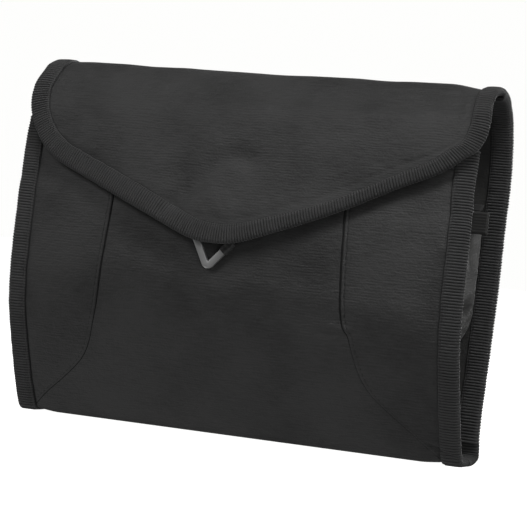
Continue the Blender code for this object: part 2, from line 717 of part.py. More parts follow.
def zip_pull(middle, axis_depth):
    """A long plate with a slot. The bar at the slot's end lies under the bridge and is the hinge."""
    pin = ZIP.point(SLIDER_PARK, middle, axis_depth)
    half = PULL_THICKNESS / 2
    reach = BRIDGE_HALF_LENGTH + BRIDGE_WIRE
    body = plate_on_zip("zip_pull", (SLIDER_PARK - PULL_LENGTH, SLIDER_PARK + half), PULL_HALF_WIDTH,
                        middle, (axis_depth - half, axis_depth + half), pin)
    slot = plate_on_zip("pull_slot_tool", (SLIDER_PARK - reach, SLIDER_PARK - half),
                        PULL_HALF_WIDTH - PULL_ARM, middle,
                        (axis_depth - 3 * half, axis_depth + 3 * half))
    cut(body, slot)


def main():
    clear_scene()
    back()
    top_strip()
    bottom_strip()
    flap()
    hanger_loop()
    ring()
    front()
    mesh_pocket()
    pocket()
    rows = zip_tapes()
    zip_end_stops(*rows)
    zip_end_tabs()
    zip_slider(*rows)


main()
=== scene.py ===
"""The looks of a hanging toiletry bag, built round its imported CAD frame.

The bag is one strip of black fabric. It starts at the front's top edge, runs down the front, under the
bag, up the back, over the top and down the flap. A place on it is (x, s): x across the bag, s along the
strip. A depth is measured inwards from the fabric's outer face, in metres like everything else.
"""

import math

import bpy
import numpy as np
from mathutils import Matrix, Vector

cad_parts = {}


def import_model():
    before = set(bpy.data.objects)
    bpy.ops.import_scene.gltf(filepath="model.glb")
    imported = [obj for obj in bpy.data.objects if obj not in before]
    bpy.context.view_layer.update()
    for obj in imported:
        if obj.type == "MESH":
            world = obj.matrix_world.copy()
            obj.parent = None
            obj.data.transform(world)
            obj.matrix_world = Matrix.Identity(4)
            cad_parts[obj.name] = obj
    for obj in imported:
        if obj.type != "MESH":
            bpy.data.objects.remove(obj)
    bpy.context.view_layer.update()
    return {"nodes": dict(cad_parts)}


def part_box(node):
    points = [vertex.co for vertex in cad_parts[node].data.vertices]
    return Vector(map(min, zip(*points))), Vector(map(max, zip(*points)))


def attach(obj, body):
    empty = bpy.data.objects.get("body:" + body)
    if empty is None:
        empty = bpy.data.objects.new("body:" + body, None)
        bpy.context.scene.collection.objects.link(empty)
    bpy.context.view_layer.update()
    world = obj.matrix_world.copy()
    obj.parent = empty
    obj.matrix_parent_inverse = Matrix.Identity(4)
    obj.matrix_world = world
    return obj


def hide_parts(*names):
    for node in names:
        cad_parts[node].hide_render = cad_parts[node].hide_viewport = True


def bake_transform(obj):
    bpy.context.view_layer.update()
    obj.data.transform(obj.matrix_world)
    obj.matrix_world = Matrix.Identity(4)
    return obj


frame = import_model()

# Main dimensions, as in the CAD model. The ring, the pocket's width and foot, and the front's top
# differ a little from it, fitted to the photo.
HALF_WIDTH = 0.135
PILLOW_POWER = 2.2
OUTER_THICKNESS = 0.0008
LINING_DEPTH = 0.0011
LINING_THICKNESS = 0.0006
THIN_STACK = 0.0017
FOAM_THICKNESS = 0.0025
FOAM_TOP = 0.193
BACK_LINING_DEPTH = 0.0039
BACK_STACK = 0.0045
BINDING_WIDTH = 0.011
EDGE_INSET = 0.0009
PANEL_EDGE = HALF_WIDTH - EDGE_INSET
BASE_HEIGHT = 0.0011
FRONT_TOP = 0.1689
REAR_SPLIT_HEIGHT = 0.012

FLAP_TIP = 0.1067
FLAP_TIP_RADIUS = 0.059
FLAP_CORNER_RADIUS = 0.050
FLAP_CORNER_HEIGHT = 0.1886
FLAP_TIP_SHIFT = -0.004
# Distance square to the flap's sloping edge, for each metre straight above it.
FLAP_EDGE_SLANT = 0.93

PATCH_HALF_WIDTH = 0.024
PATCH_LOW = 0.139
PATCH_HIGH = 0.155

RING_SKEW = math.radians(7.5)
RING_BAR = Vector((FLAP_TIP_SHIFT, -0.0339, 0.1095))
RING_HALF_WIDTH = 0.0120
RING_DROP = 0.0170
RING_CORNER_RADIUS = 0.0019
RING_WIRE_WIDTH = 0.0040
RING_OFFSET = -0.0016
RING_WIRE_THICKNESS = 0.0024
LOOP_HALF_WIDTH = 0.0098
LOOP_INNER_RADIUS = 0.00185
LOOP_THICKNESS = 0.0006
LOOP_TOP = 0.0215
LOOP_MERGE = 0.006
LOOP_LEAN = 0.18

POCKET_HALF_WIDTH = 0.1246
POCKET_LOW = 0.0088
POCKET_HIGH = 0.126
POCKET_THICKNESS = 0.0006
ZIP_FRONT = (0.0084, 0.1265)
ZIP_REAR = (0.0284, 0.1385)
ZIP_HALF_LENGTH = 0.1185
TAB_Y = 0.0104
TAB_LOW = 0.1255
TAB_HIGH = 0.1375

MESH_LOW = 0.024
MESH_HIGH = 0.108
MESH_HALF_WIDTH = 0.1195
MESH_DEPTH = 0.0022
BAND_HEIGHT = 0.012

# Profiles of the strip, (height, distance back at the side edges, distance back in the middle).
FRONT_PROFILE = [
    (0.0032, 0.0040, 0.0040), (0.009, 0.0004, -0.0010), (0.022, -0.0056, -0.0100),
    (0.037, -0.0116, -0.0186), (0.050, -0.0166, -0.0246), (0.063, -0.0206, -0.0288),
    (0.080, -0.0226, -0.0316), (0.095, -0.0228, -0.0321), (0.110, -0.0221, -0.0311),
    (0.124, -0.0201, -0.0286), (0.135, -0.0171, -0.0256), (0.150, -0.0141, -0.0216),
    (0.168, -0.0110, -0.0166),
]
BACK_PROFILE = [
    (0.0032, 0.0294, 0.0294), (0.025, 0.0300, 0.0310), (0.050, 0.0330, 0.0350),
    (0.075, 0.0356, 0.0380), (0.100, 0.0378, 0.0400), (0.130, 0.0384, 0.0407),
    (0.158, 0.0405, 0.0405), (0.176, 0.0388, 0.0388), (0.189, 0.0347, 0.0347),
    (0.197, 0.0300, 0.0300),
]
FLAP_PROFILE = [
    (0.106, -0.0270, -0.0406), (0.125, -0.0230, -0.0356), (0.140, -0.0205, -0.0300),
    (0.155, -0.0185, -0.0262), (0.168, -0.0164, -0.0226), (0.178, -0.0143, -0.0190),
    (0.187, -0.0118, -0.0140), (0.195, -0.0066, -0.0066),
]
# The top's profile, (distance back, height).
TOP_CURVE = [
    (-0.0066, 0.1950), (-0.001, 0.2001), (0.006, 0.2031), (0.014, 0.2039), (0.0205, 0.2030),
    (0.0290, 0.1982),
]
# The rounded turns from the front and the back into the base.
FRONT_TURN = [(0.0036, 0.0030), (0.0052, 0.0016), (0.0080, BASE_HEIGHT)]
REAR_TURN = [(0.0170, BASE_HEIGHT), (0.0225, BASE_HEIGHT), (0.0265, 0.0022), (0.0291, 0.0044)]
BASE_MIDDLE_Y = 0.0170
# The front pocket seams, (height, distance from the middle).
SEAM_CURVE = [
    (0.0032, 0.1235), (0.014, 0.1100), (0.022, 0.0995), (0.033, 0.0870), (0.042, 0.0810),
    (0.054, 0.0770), (0.068, 0.0738), (0.090, 0.0718), (0.125, 0.0698), (0.168, 0.0680),
]
# How far each seam wanders from that curve, (height, distance across).
SEAM_WANDER = {
    -1: [(0.0, 0.0), (0.014, -0.0020), (0.170, -0.0020)],
    1: [(0.0, 0.0), (0.062, 0.0), (0.071, -0.0027), (0.170, -0.0027)],
}
# The zipped pocket's face, in the same way.
POCKET_PROFILE = [
    (0.008, 0.0240, 0.0240), (0.013, 0.0110, 0.0100), (0.020, 0.0040, 0.0020),
    (0.035, -0.0030, -0.0060), (0.055, -0.0070, -0.0105), (0.080, -0.0080, -0.0115),
    (0.100, -0.0055, -0.0085), (0.115, 0.0005, -0.0015), (0.126, 0.0084, 0.0084),
]

# Fineness of the meshes.
CELL = 0.0015
PROFILE_STEP = 0.0004
PROFILE_BLUR = 3
PATH_POINTS = 200
FLAP_ROWS = 70

# Ribbed tape and its stitches.
RIB_PITCH = 0.0016
RIB_HEIGHT = 0.00058
RIB_SHAPE = [(0.0, 0.0), (0.12, 0.55), (0.30, 0.90), (0.50, 1.0), (0.70, 0.90), (0.88, 0.55)]
SEAM_HALF_GAP = 0.00012
SEAM_CORD_RADIUS = 0.00042
STITCH_LENGTH = 0.0026
STITCH_PITCH = 0.0034
STITCH_RADIUS = 0.00024
STITCH_INSET = 0.0096
# Share of a stitch's length, then its radius and how deep it is sunk, as shares of its full radius.
STITCH_SHAPE = np.array([
    (0.0, 0.35, 0.9), (0.18, 0.9, 0.3), (0.5, 1.0, 0.0), (0.82, 0.9, 0.3), (1.0, 0.35, 0.9),
])


# Maths.

def smooth(points, t):
    """Values at t of the smooth curve through (t, value) points."""
    knots, values = np.array(points).T
    slopes = np.gradient(values)
    slopes[1:-1] = (values[2:] - values[:-2]) / (knots[2:] - knots[:-2])
    slopes[0] = (values[1] - values[0]) / (knots[1] - knots[0])
    slopes[-1] = (values[-1] - values[-2]) / (knots[-1] - knots[-2])
    t = np.clip(t, knots[0], knots[-1])
    i = np.clip(np.searchsorted(knots, t) - 1, 0, len(knots) - 2)
    span = knots[i + 1] - knots[i]
    u = (t - knots[i]) / span
    return (
        (2 * u**3 - 3 * u**2 + 1) * values[i]
        + (u**3 - 2 * u**2 + u) * span * slopes[i]
        + (3 * u**2 - 2 * u**3) * values[i + 1]
        + (u**3 - u**2) * span * slopes[i + 1]
    )


def ease(value, low, high):
    """0 below low, 1 above high, and a smooth step between."""
    share = np.clip((value - low) / (high - low), 0, 1)
    return share * share * (3 - 2 * share)


def hump(value, centre, width):
    return np.exp(-(((value - centre) / width) ** 2))


LATTICE = np.random.default_rng(11).random((64, 64)) * 2 - 1


def noise(u, v):
    """Smooth noise from -1 to 1, with features about one unit across."""
    u, v = np.broadcast_arrays(u, v)
    cell_u, cell_v = np.floor(u).astype(int), np.floor(v).astype(int)
    share_u, share_v = ease(u - cell_u, 0, 1), ease(v - cell_v, 0, 1)

    def corner(i, k):
        return LATTICE[(cell_u + i) % 64, (cell_v + k) % 64]

    low = corner(0, 0) * (1 - share_u) + corner(1, 0) * share_u
    high = corner(0, 1) * (1 - share_u) + corner(1, 1) * share_u
    return low * (1 - share_v) + high * share_v


def unit(vectors):
    return vectors / np.linalg.norm(vectors, axis=-1, keepdims=True)


def lengths_along(points):
    """The length along a line, at each of its points."""
    return np.concatenate([[0], np.cumsum(np.linalg.norm(np.diff(points, axis=0), axis=1))])


def at_lengths(points, lengths, where):
    """Places on a line, at the given lengths along it."""
    return np.stack([np.interp(where, lengths, column) for column in points.T], -1)


def edge_and_middle(profile):
    """A profile's (height, distance back) curves at the side edges and in the middle."""
    rows = np.array(profile)
    return rows[:, [0, 1]], rows[:, [0, 2]]


# The strip.

def strip_corners(front, back, flap):
    """Points (y, z) along the strip, from above the front's top edge to the flap's tip."""
    down_front = np.arange(0.170, 0.0050, -0.001)
    up_back = np.arange(0.0055, 0.1935, 0.001)
    over_top = np.arange(0.0275, -0.0050, -0.001)
    down_flap = np.arange(0.1925, 0.1055, -0.001)
    return np.vstack([
        np.column_stack([smooth(front, down_front), down_front]),
        FRONT_TURN,
        REAR_TURN,
        np.column_stack([smooth(back, up_back), up_back]),
        np.column_stack([over_top, smooth(TOP_CURVE, over_top)]),
        np.column_stack([smooth(flap, down_flap), down_flap]),
    ])


def blurred(values):
    reach = np.arange(-3 * PROFILE_BLUR, 3 * PROFILE_BLUR + 1)
    weights = np.exp(-((reach / PROFILE_BLUR) ** 2) / 2)
    padded = np.pad(values, 3 * PROFILE_BLUR, mode="reflect", reflect_type="odd")
    return np.convolve(padded, weights / weights.sum(), mode="valid")


def strip_profiles():
    """Lengths along the strip, and its (y, z) at the side edges and in the middle at those lengths."""
    curves = zip(*[edge_and_middle(profile) for profile in (FRONT_PROFILE, BACK_PROFILE, FLAP_PROFILE)])
    edge, middle = [strip_corners(*three) for three in curves]
    lengths = lengths_along((edge + middle) / 2)
    even = np.arange(0, lengths[-1], PROFILE_STEP)
    edge, middle = [
        np.apply_along_axis(blurred, 0, at_lengths(points, lengths, even)) for points in (edge, middle)
    ]
    return even, edge, middle


STRIP_S, STRIP_EDGE, STRIP_MIDDLE = strip_profiles()
S_APEX = STRIP_S[np.argmax(STRIP_EDGE[:, 1])]
ON_BASE = (STRIP_S < S_APEX) & (STRIP_EDGE[:, 1] < 0.0015)
S_BASE = np.interp(BASE_MIDDLE_Y, STRIP_EDGE[ON_BASE, 0], STRIP_S[ON_BASE])


def height_at(s):
    return np.interp(s, STRIP_S, STRIP_EDGE[:, 1])


def s_on(part, height):
    """The place along the strip at a height on its "front", its "back" or its "flap"."""
    low, high = {"front": (0, S_BASE), "back": (S_BASE, S_APEX), "flap": (S_APEX, STRIP_S[-1])}[part]
    on = (STRIP_S >= low) & (STRIP_S <= high)
    heights, places = STRIP_EDGE[on, 1], STRIP_S[on]
    order = np.argsort(heights)
    return np.interp(height, heights[order], places[order])


S_FRONT_TOP = float(s_on("front", FRONT_TOP))
S_REAR_SPLIT = float(s_on("back", REAR_SPLIT_HEIGHT))


# How far the side edges stray outwards from straight, (height, distance), on the flap and on the back.
FLAP_FLARE = [(0.140, 0.0030), (0.165, 0.0032), (0.180, 0.0026), (0.190, 0.0012), (0.197, 0.0), (0.206, 0.0)]
BACK_FLARE = [(0.0, 0.0), (0.004, 0.0016), (0.020, 0.0008), (0.150, 0.0008), (0.180, 0.0004), (0.206, 0.0)]
# How far the front leans to the left towards its top.
FRONT_LEAN = [(0.0, 0.0), (0.110, 0.0), (0.135, -0.0016), (0.150, -0.0028), (0.170, -0.0028)]


def sideways(x, s):
    """Where a place across the strip lies across the bag."""
    z = height_at(s)
    share = np.clip(x / HALF_WIDTH, -1, 1) ** 3
    on_front, on_flap = s < S_BASE, s > S_APEX
    strayed = share * np.where(on_flap, smooth(FLAP_FLARE, z), np.where(on_front, 0.0, smooth(BACK_FLARE, z)))
    return x + strayed + np.where(on_front, smooth(FRONT_LEAN, z), 0.0)


def surface(x, s):
    x, s = np.broadcast_arrays(np.asarray(x, float), np.asarray(s, float))
    fullness = (1 - np.minimum(np.abs(x) / HALF_WIDTH, 1) ** PILLOW_POWER)[..., None]
    edge, middle = [at_lengths(points, STRIP_S, s) for points in (STRIP_EDGE, STRIP_MIDDLE)]
    return np.concatenate([sideways(x, s)[..., None], edge * (1 - fullness) + middle * fullness], -1)


def outward(x, s):
    step = 0.0008
    across = surface(x + step, s) - surface(x - step, s)
    along = surface(x, s + step) - surface(x, s - step)
    return unit(np.cross(along, across))


def place(x, s, depth=0.0):
    """World points of the fabric, with its soft undulations."""
    return surface(x, s) + outward(x, s) * (relief(x, s) - depth)[..., None]


# The flap's outline.

def flap_circles(inset):
    """Centre x, centre height and radius of the rounded tip and of the rounded corner at +X."""
    tip = (0, FLAP_TIP + FLAP_TIP_RADIUS, FLAP_TIP_RADIUS - inset)
    corner = (HALF_WIDTH - FLAP_CORNER_RADIUS, FLAP_CORNER_HEIGHT, FLAP_CORNER_RADIUS - inset)
    return tip, corner


def flap_slope():
    tip, corner = flap_circles(0)
    run, rise = corner[0] - tip[0], corner[1] - tip[1]
    return math.atan2(rise, run) + math.asin((tip[2] - corner[2]) / math.hypot(run, rise))


def uplift(x):
    """How much higher the flap's edge curves up towards its right-hand side."""
    return 0.0080 * hump(x, 0.108, 0.040) * ease(HALF_WIDTH - np.abs(x), 0.0005, 0.012)


def flap_low(x, inset=0.0):
    """Height of the flap's lower edge at x."""
    tip, corner = flap_circles(inset)
    pull = FLAP_TIP_SHIFT / HALF_WIDTH
    shifted = x - FLAP_TIP_SHIFT
    straight_x = np.abs(shifted / np.where(shifted > 0, 1 - pull, 1 + pull))
    angle = -math.pi / 2 + flap_slope()
    tip_end, corner_start = [c[0] + c[2] * math.cos(angle) for c in (tip, corner)]
    tip_z, corner_z = [c[1] + c[2] * math.sin(angle) for c in (tip, corner)]
    on_tip = tip[1] - np.sqrt(np.maximum(tip[2] ** 2 - straight_x**2, 0))
    on_corner = corner[1] - np.sqrt(np.maximum(corner[2] ** 2 - (straight_x - corner[0]) ** 2, 0))
    on_line = tip_z + (straight_x - tip_end) / (corner_start - tip_end) * (corner_z - tip_z)
    low = np.where(straight_x < tip_end, on_tip, np.where(straight_x > corner_start, on_corner, on_line))
    return low + uplift(x)


def flap_path():
    """The flap's edge from the apex at -X round the tip to the apex at +X.

    Its rows are (x, s, inward x, inward s).
    """
    tip, corner = flap_circles(0)
    drop = -math.pi / 2 + flap_slope()
    corner_turn = np.linspace(0, drop, 40)
    tip_turn = np.linspace(drop, -math.pi / 2, 40)
    rounds = []
    for (centre_x, centre_z, radius), turn in ((corner, corner_turn), (tip, tip_turn)):
        cos, sin = np.cos(turn), np.sin(turn)
        rounds.append(np.column_stack([centre_x + radius * cos, centre_z + radius * sin, -cos, -sin]))
    share = np.linspace(0, 1, 40)[1:-1, None]
    line = rounds[0][-1] * (1 - share) + rounds[1][0] * share
    half = np.vstack([rounds[0], line, rounds[1]])
    places = s_on("flap", half[:, 1])
    climb = np.abs(np.gradient(STRIP_EDGE[:, 1], PROFILE_STEP))
    grow = 1 / np.maximum(np.interp(places, STRIP_S, climb), 0.7)
    half = np.column_stack([half[:, 0], places, half[:, 2], -half[:, 3] * grow])
    side_s = np.linspace(S_APEX, half[0, 1], 30)[:-1]
    side = np.column_stack([np.full(29, HALF_WIDTH), side_s, np.full(29, -1.0), np.zeros(29)])
    right = np.vstack([side, half])
    left = right[:-1] * [-1, 1, -1, 1]
    path = np.vstack([left, right[::-1]])
    path[:, 0] += FLAP_TIP_SHIFT * (1 - np.minimum(np.abs(path[:, 0]) / HALF_WIDTH, 1))
    path[:, 1] -= uplift(path[:, 0])
    narrower = 1 - 0.40 * hump(path[:, 0], 0.076, 0.062)
    path[:, 2:] *= narrower[:, None]
    return path


def edge_path(side, low, high):
    """A side edge as rows (x, s, inward x, inward s). side is 1 at +X and -1 at -X."""
    s = np.linspace(low, high, PATH_POINTS)
    flat = np.ones(PATH_POINTS)
    return np.column_stack([side * HALF_WIDTH * flat, s, -side * flat, 0 * flat])


def edge_distance(x, z, on_flap=True):
    """Roughly how far a place is from the nearest bound edge."""
    from_side = HALF_WIDTH - np.abs(x)
    from_either = np.minimum(from_side, (z - flap_low(x)) * FLAP_EDGE_SLANT)
    return np.where(on_flap & (z < FLAP_CORNER_HEIGHT), from_either, from_side)


# Undulations of the fabric.

def valley(x, z, points, width, depth):
    """A soft trough along a line through (x, height) points."""
    nearest = np.full(x.shape, np.inf)
    for start, end in zip(points, points[1:]):
        run = np.subtract(end, start)
        from_x, from_z = x - start[0], z - start[1]
        share = np.clip((from_x * run[0] + from_z * run[1]) / (run @ run), 0, 1)
        nearest = np.minimum(nearest, np.hypot(from_x - share * run[0], from_z - share * run[1]))
    return -depth * hump(nearest, 0, width)


# The dent above the flap's tip, (across, height).
DENT = [(-0.0320, 0.1270), (-0.0200, 0.1380), (-0.0130, 0.1490), (-0.0050, 0.1545), (0.0070, 0.1540)]
# Folds, as points (across, height), width and depth. A negative depth stands out.
FLAP_FOLDS = [
    (DENT, 0.0055, 0.0017),
    ([(-0.0360, 0.1220), (-0.0270, 0.1320)], 0.0040, 0.0009),
    ([(-0.0560, 0.1340), (-0.0380, 0.1500), (-0.0200, 0.1640)], 0.0080, -0.0008),
    ([(-0.0130, 0.1330), (-0.0040, 0.1270)], 0.0060, -0.0008),
    ([(0.0600, 0.1720), (0.1050, 0.1830)], 0.0050, 0.0004),
    ([(-0.1180, 0.1860), (-0.0880, 0.1680)], 0.0050, 0.0005),
]
FRONT_FOLDS = [
    ([(0.0020, 0.1120), (-0.0050, 0.0930)], 0.0120, 0.0016),
    ([(-0.0600, 0.0900), (0.1050, 0.0780)], 0.0090, -0.0011),
    ([(0.0640, 0.0685), (0.0735, 0.0670)], 0.0022, -0.0008),
    ([(0.0580, 0.0640), (0.0760, 0.0650)], 0.0016, 0.0006),
    ([(0.1190, 0.0105), (0.1310, 0.0060)], 0.0012, 0.0009),
    ([(0.1120, 0.0150), (0.1230, 0.0120)], 0.0030, -0.0005),
    ([(-0.0600, 0.1040), (-0.0200, 0.0950)], 0.0090, 0.0006),
    ([(-0.1220, 0.0120), (-0.0950, 0.0300)], 0.0040, 0.0005),
]


def folded(x, z, folds):
    return sum(valley(x, z, *fold) for fold in folds)


def roll_crease(x, z):
    """The soft crease where the flap turns down from the top."""
    crease = 0.1885 + 0.02 * x
    made = 0.0003 * hump(z, crease - 0.011, 0.006) - 0.0006 * hump(z, crease, 0.0042)
    return made * ease(HALF_WIDTH - np.abs(x), 0.009, 0.022)


def relief(x, s):
    """How far the fabric stands out from its smooth shape."""
    x, s = np.broadcast_arrays(np.asarray(x, float), np.asarray(s, float))
    z = height_at(s)
    on_flap, on_front = s > S_APEX, s < S_BASE
    edge = edge_distance(x, z, on_flap)
    soft = 0.0006 * noise(x / 0.055 + 3, s / 0.045)
    soft = soft + 0.00030 * noise((x + 0.6 * s) / 0.020, (s - 0.2 * x) / 0.034)
    soft = soft + 0.00009 * noise((0.9 * x + s) / 0.0075, (s - 0.5 * x) / 0.016)
    soft = soft * ease(edge, 0.002, 0.030) * ease(z, 0.004, 0.030)
    soft = soft * np.where(on_front, 1 - 0.7 * ease(z, 0.115, 0.135), 1)
    pucker = 0.00022 * noise(x / 0.0055, s / 0.0055) * hump(edge, 0.0135, 0.0055) * ease(z, 0.004, 0.012)
    on_flap_only = folded(x, z, FLAP_FOLDS) + roll_crease(x, z)
    folds = np.where(on_flap, on_flap_only, np.where(on_front, folded(x, z, FRONT_FOLDS), 0.0))
    sag = 0.0010 * ease(edge, 0.011, 0.024) * (1 - ease(z, 0.003, 0.016))
    rolled = (0.0003 + 0.0020 * ease(x, 0.06, 0.115)) * ease(edge, 0.010, 0.030)
    rolled = (rolled - 0.0012 * hump(x, -0.135, 0.012)) * ease(z, 0.1980, 0.2025)
    return soft + pucker + folds + sag + rolled


# Mesh making.

def make_object(name, points, faces, uv=None, sharp_angle=50):
    """An object from world points. uv gives each point's place on the cloth, in metres."""
    mesh = bpy.data.meshes.new(name)
    mesh.from_pydata(np.asarray(points, float).tolist(), [], [list(face) for face in faces])
    if uv is not None:
        corners = np.empty(len(mesh.loops), np.int32)
        mesh.loops.foreach_get("vertex_index", corners)
        layer = mesh.uv_layers.new(name="cloth")
        layer.data.foreach_set("uv", np.asarray(uv, np.float32)[corners].ravel())
    mesh.shade_smooth()
    mesh.set_sharp_from_angle(angle=math.radians(sharp_angle))
    obj = bpy.data.objects.new(name, mesh)
    bpy.context.scene.collection.objects.link(obj)
    return obj


def grid_faces(rows, columns, offset=0, flip=False, wrap=False):
    """Quads over a grid of points, closed across its columns if it wraps."""
    i, k = np.meshgrid(np.arange(rows - 1), np.arange(columns if wrap else columns - 1), indexing="ij")
    right = (k + 1) % columns
    here, below = i * columns, (i + 1) * columns
    quads = np.stack([here + k, here + right, below + right, below + k], -1).reshape(-1, 4) + offset
    return quads[:, ::-1] if flip else quads


def slab(name, x, s, depth, thickness):
    """A closed layer of fabric over grids of x and s, facing outwards."""
    x, s, depth = np.broadcast_arrays(x, s, depth)
    rows, columns = x.shape
    count = rows * columns
    points = np.vstack([place(x, s, d).reshape(-1, 3) for d in (depth, depth + thickness)])
    index = np.arange(count).reshape(rows, columns)
    border = np.concatenate([index[0, :-1], index[:-1, -1], index[-1, :0:-1], index[:0:-1, 0]])
    after = np.roll(border, -1)
    rim = np.stack([after, border, border + count, after + count], -1)
    faces = np.vstack([grid_faces(rows, columns), grid_faces(rows, columns, count, flip=True), rim])
    cloth = np.tile(np.column_stack([x.ravel(), s.ravel()]), (2, 1))
    return faced_outwards(make_object(name, points, faces, cloth))


def faced_outwards(obj):
    """Turns all faces over if the closed mesh is inside out."""
    mesh = obj.data
    mesh.calc_loop_triangles()
    points = np.empty(len(mesh.vertices) * 3)
    mesh.vertices.foreach_get("co", points)
    corners = np.empty(len(mesh.loop_triangles) * 3, np.int32)
    mesh.loop_triangles.foreach_get("vertices", corners)
    triangles = points.reshape(-1, 3)[corners.reshape(-1, 3)]
    if np.einsum("ij,ij->i", triangles[:, 0], np.cross(triangles[:, 1], triangles[:, 2])).sum() < 0:
        mesh.flip_normals()
    return obj


def tube(name, sections, closed=False, uv=None, sharp_angle=50):
    """A closed body through matching rings of points, an array of (sections, points, 3)."""
    sections = np.asarray(sections, float)
    count, size = sections.shape[:2]
    faces = [list(face) for face in grid_faces(count, size, wrap=True)]
    if closed:
        last = (count - 1) * size
        faces += [[last + k, last + (k + 1) % size, (k + 1) % size, k] for k in range(size)]
    else:
        faces += [list(range(size))[::-1], list(range((count - 1) * size, count * size))]
    return faced_outwards(make_object(name, sections.reshape(-1, 3), faces, uv, sharp_angle))


def rods(count, rings, sides):
    """Faces of a row of separate short rods, each of some rings of points and closed at both ends."""
    size = rings * sides
    faces = []
    for first in range(0, count * size, size):
        last = first + size
        faces += [list(face) for face in grid_faces(rings, sides, first, wrap=True)]
        faces += [list(range(first, first + sides))[::-1], list(range(last - sides, last))]
    return faces


def cord_rings(centres, first, second, radius, sides):
    """Rings of points round the centres of a cord, in the plane of two directions."""
    turns = np.arange(sides)[:, None] * math.tau / sides
    round_centre = np.cos(turns) * first[..., None, :] + np.sin(turns) * second[..., None, :]
    return centres[..., None, :] + round_centre * radius


def even_steps(low, high, cell=CELL):
    return np.linspace(low, high, max(2, int(round(abs(high - low) / cell)) + 1))


# Materials.

def socket(tree, value, target):
    """Links a node's output, or sets a plain value, on an input."""
    if isinstance(value, bpy.types.NodeSocket):
        tree.links.new(value, target)
    else:
        target.default_value = value


def math_node(tree, operation, first, second=0.0):
    node = tree.nodes.new("ShaderNodeMath")
    node.operation = operation
    socket(tree, first, node.inputs[0])
    socket(tree, second, node.inputs[1])
    return node.outputs[0]


def cloth_place(tree):
    """The two lengths of a point's place on its cloth, in metres."""
    where = tree.nodes.new("ShaderNodeUVMap")
    where.uv_map = "cloth"
    split = tree.nodes.new("ShaderNodeSeparateXYZ")
    tree.links.new(where.outputs[0], split.inputs[0])
    return where.outputs[0], split.outputs[0], split.outputs[1]


def noise_node(tree, vector, scale, detail=2.0):
    node = tree.nodes.new("ShaderNodeTexNoise")
    node.inputs["Scale"].default_value = scale
    node.inputs["Detail"].default_value = detail
    tree.links.new(vector, node.inputs["Vector"])
    return node.outputs["Fac"]


def stretched(tree, vector, factors):
    """The same place with each direction scaled, for grain that runs one way."""
    node = tree.nodes.new("ShaderNodeVectorMath")
    node.operation = "MULTIPLY"
    tree.links.new(vector, node.inputs[0])
    node.inputs[1].default_value = factors
    return node.outputs["Vector"]


def ramp_node(tree, value, stops):
    """A colour ramp through (position, (r, g, b)) stops."""
    node = tree.nodes.new("ShaderNodeValToRGB")
    for (position, colour), element in zip(stops, node.color_ramp.elements):
        element.position = position
        element.color = (*colour, 1)
    tree.links.new(value, node.inputs[0])
    return node.outputs[0]


def waves(tree, length, pitch):
    """A sine wave of the given pitch, in metres."""
    return math_node(tree, "SINE", math_node(tree, "MULTIPLY", length, math.tau / pitch))


def summed(tree, *terms):
    """The sum of its terms: outputs, (output, weight) pairs and, after the first, plain numbers."""
    total = None
    for term in terms:
        if isinstance(term, tuple):
            term = math_node(tree, "MULTIPLY", *term)
        total = term if total is None else math_node(tree, "ADD", total, term)
    return total


def bump_node(tree, height, distance):
    node = tree.nodes.new("ShaderNodeBump")
    node.inputs["Distance"].default_value = distance
    node.inputs["Strength"].default_value = 1.0
    tree.links.new(height, node.inputs["Height"])
    return node.outputs[0]


def new_material(name, roughness, metallic=0.0, sheen=0.0):
    made = bpy.data.materials.new(name)
    made.use_nodes = True
    shader = made.node_tree.nodes["Principled BSDF"]
    shader.inputs["Roughness"].default_value = roughness
    shader.inputs["Metallic"].default_value = metallic
    shader.inputs["Sheen Weight"].default_value = sheen
    shader.inputs["Sheen Roughness"].default_value = 0.45
    shader.inputs["Specular IOR Level"].default_value = 0.5
    return made, made.node_tree, shader


def scaled(colour, factor):
    return tuple(part * factor for part in colour)


def woven(name, colour, rib_pitch, thread_pitch, relief_height, roughness, sheen, contrast=0.30):
    """Woven cloth: heavy ribs one way, fine threads the other, slubs, crinkles and soft mottling."""
    made, tree, shader = new_material(name, roughness, sheen=sheen)
    vector, across, along = cloth_place(tree)
    slub = noise_node(tree, vector, 900, 1)
    wander = math_node(tree, "MULTIPLY", noise_node(tree, vector, 55, 2), rib_pitch * 2.2)
    ribs = waves(tree, math_node(tree, "ADD", along, wander), rib_pitch)
    threads = waves(tree, across, thread_pitch)
    crinkle = noise_node(tree, vector, 300, 4)
    streaks = noise_node(tree, stretched(tree, vector, (0.14, 1.0, 1.0)), 850, 2)
    weave = summed(tree, (ribs, 0.22), (threads, 0.4), (slub, 2.0), (crinkle, 4.0), (streaks, 2.8))
    patches = noise_node(tree, vector, 22, 3)
    shade = summed(tree, (ribs, 0.03), patches, (slub, 0.30), (streaks, 0.45))
    stops = [(0.60, scaled(colour, 1 - contrast)), (1.15, scaled(colour, 1 + contrast))]
    tree.links.new(ramp_node(tree, shade, stops), shader.inputs["Base Color"])
    rough = summed(tree, (patches, 0.12), roughness - 0.06)
    tree.links.new(rough, shader.inputs["Roughness"])
    tree.links.new(bump_node(tree, weave, relief_height), shader.inputs["Normal"])
    return made


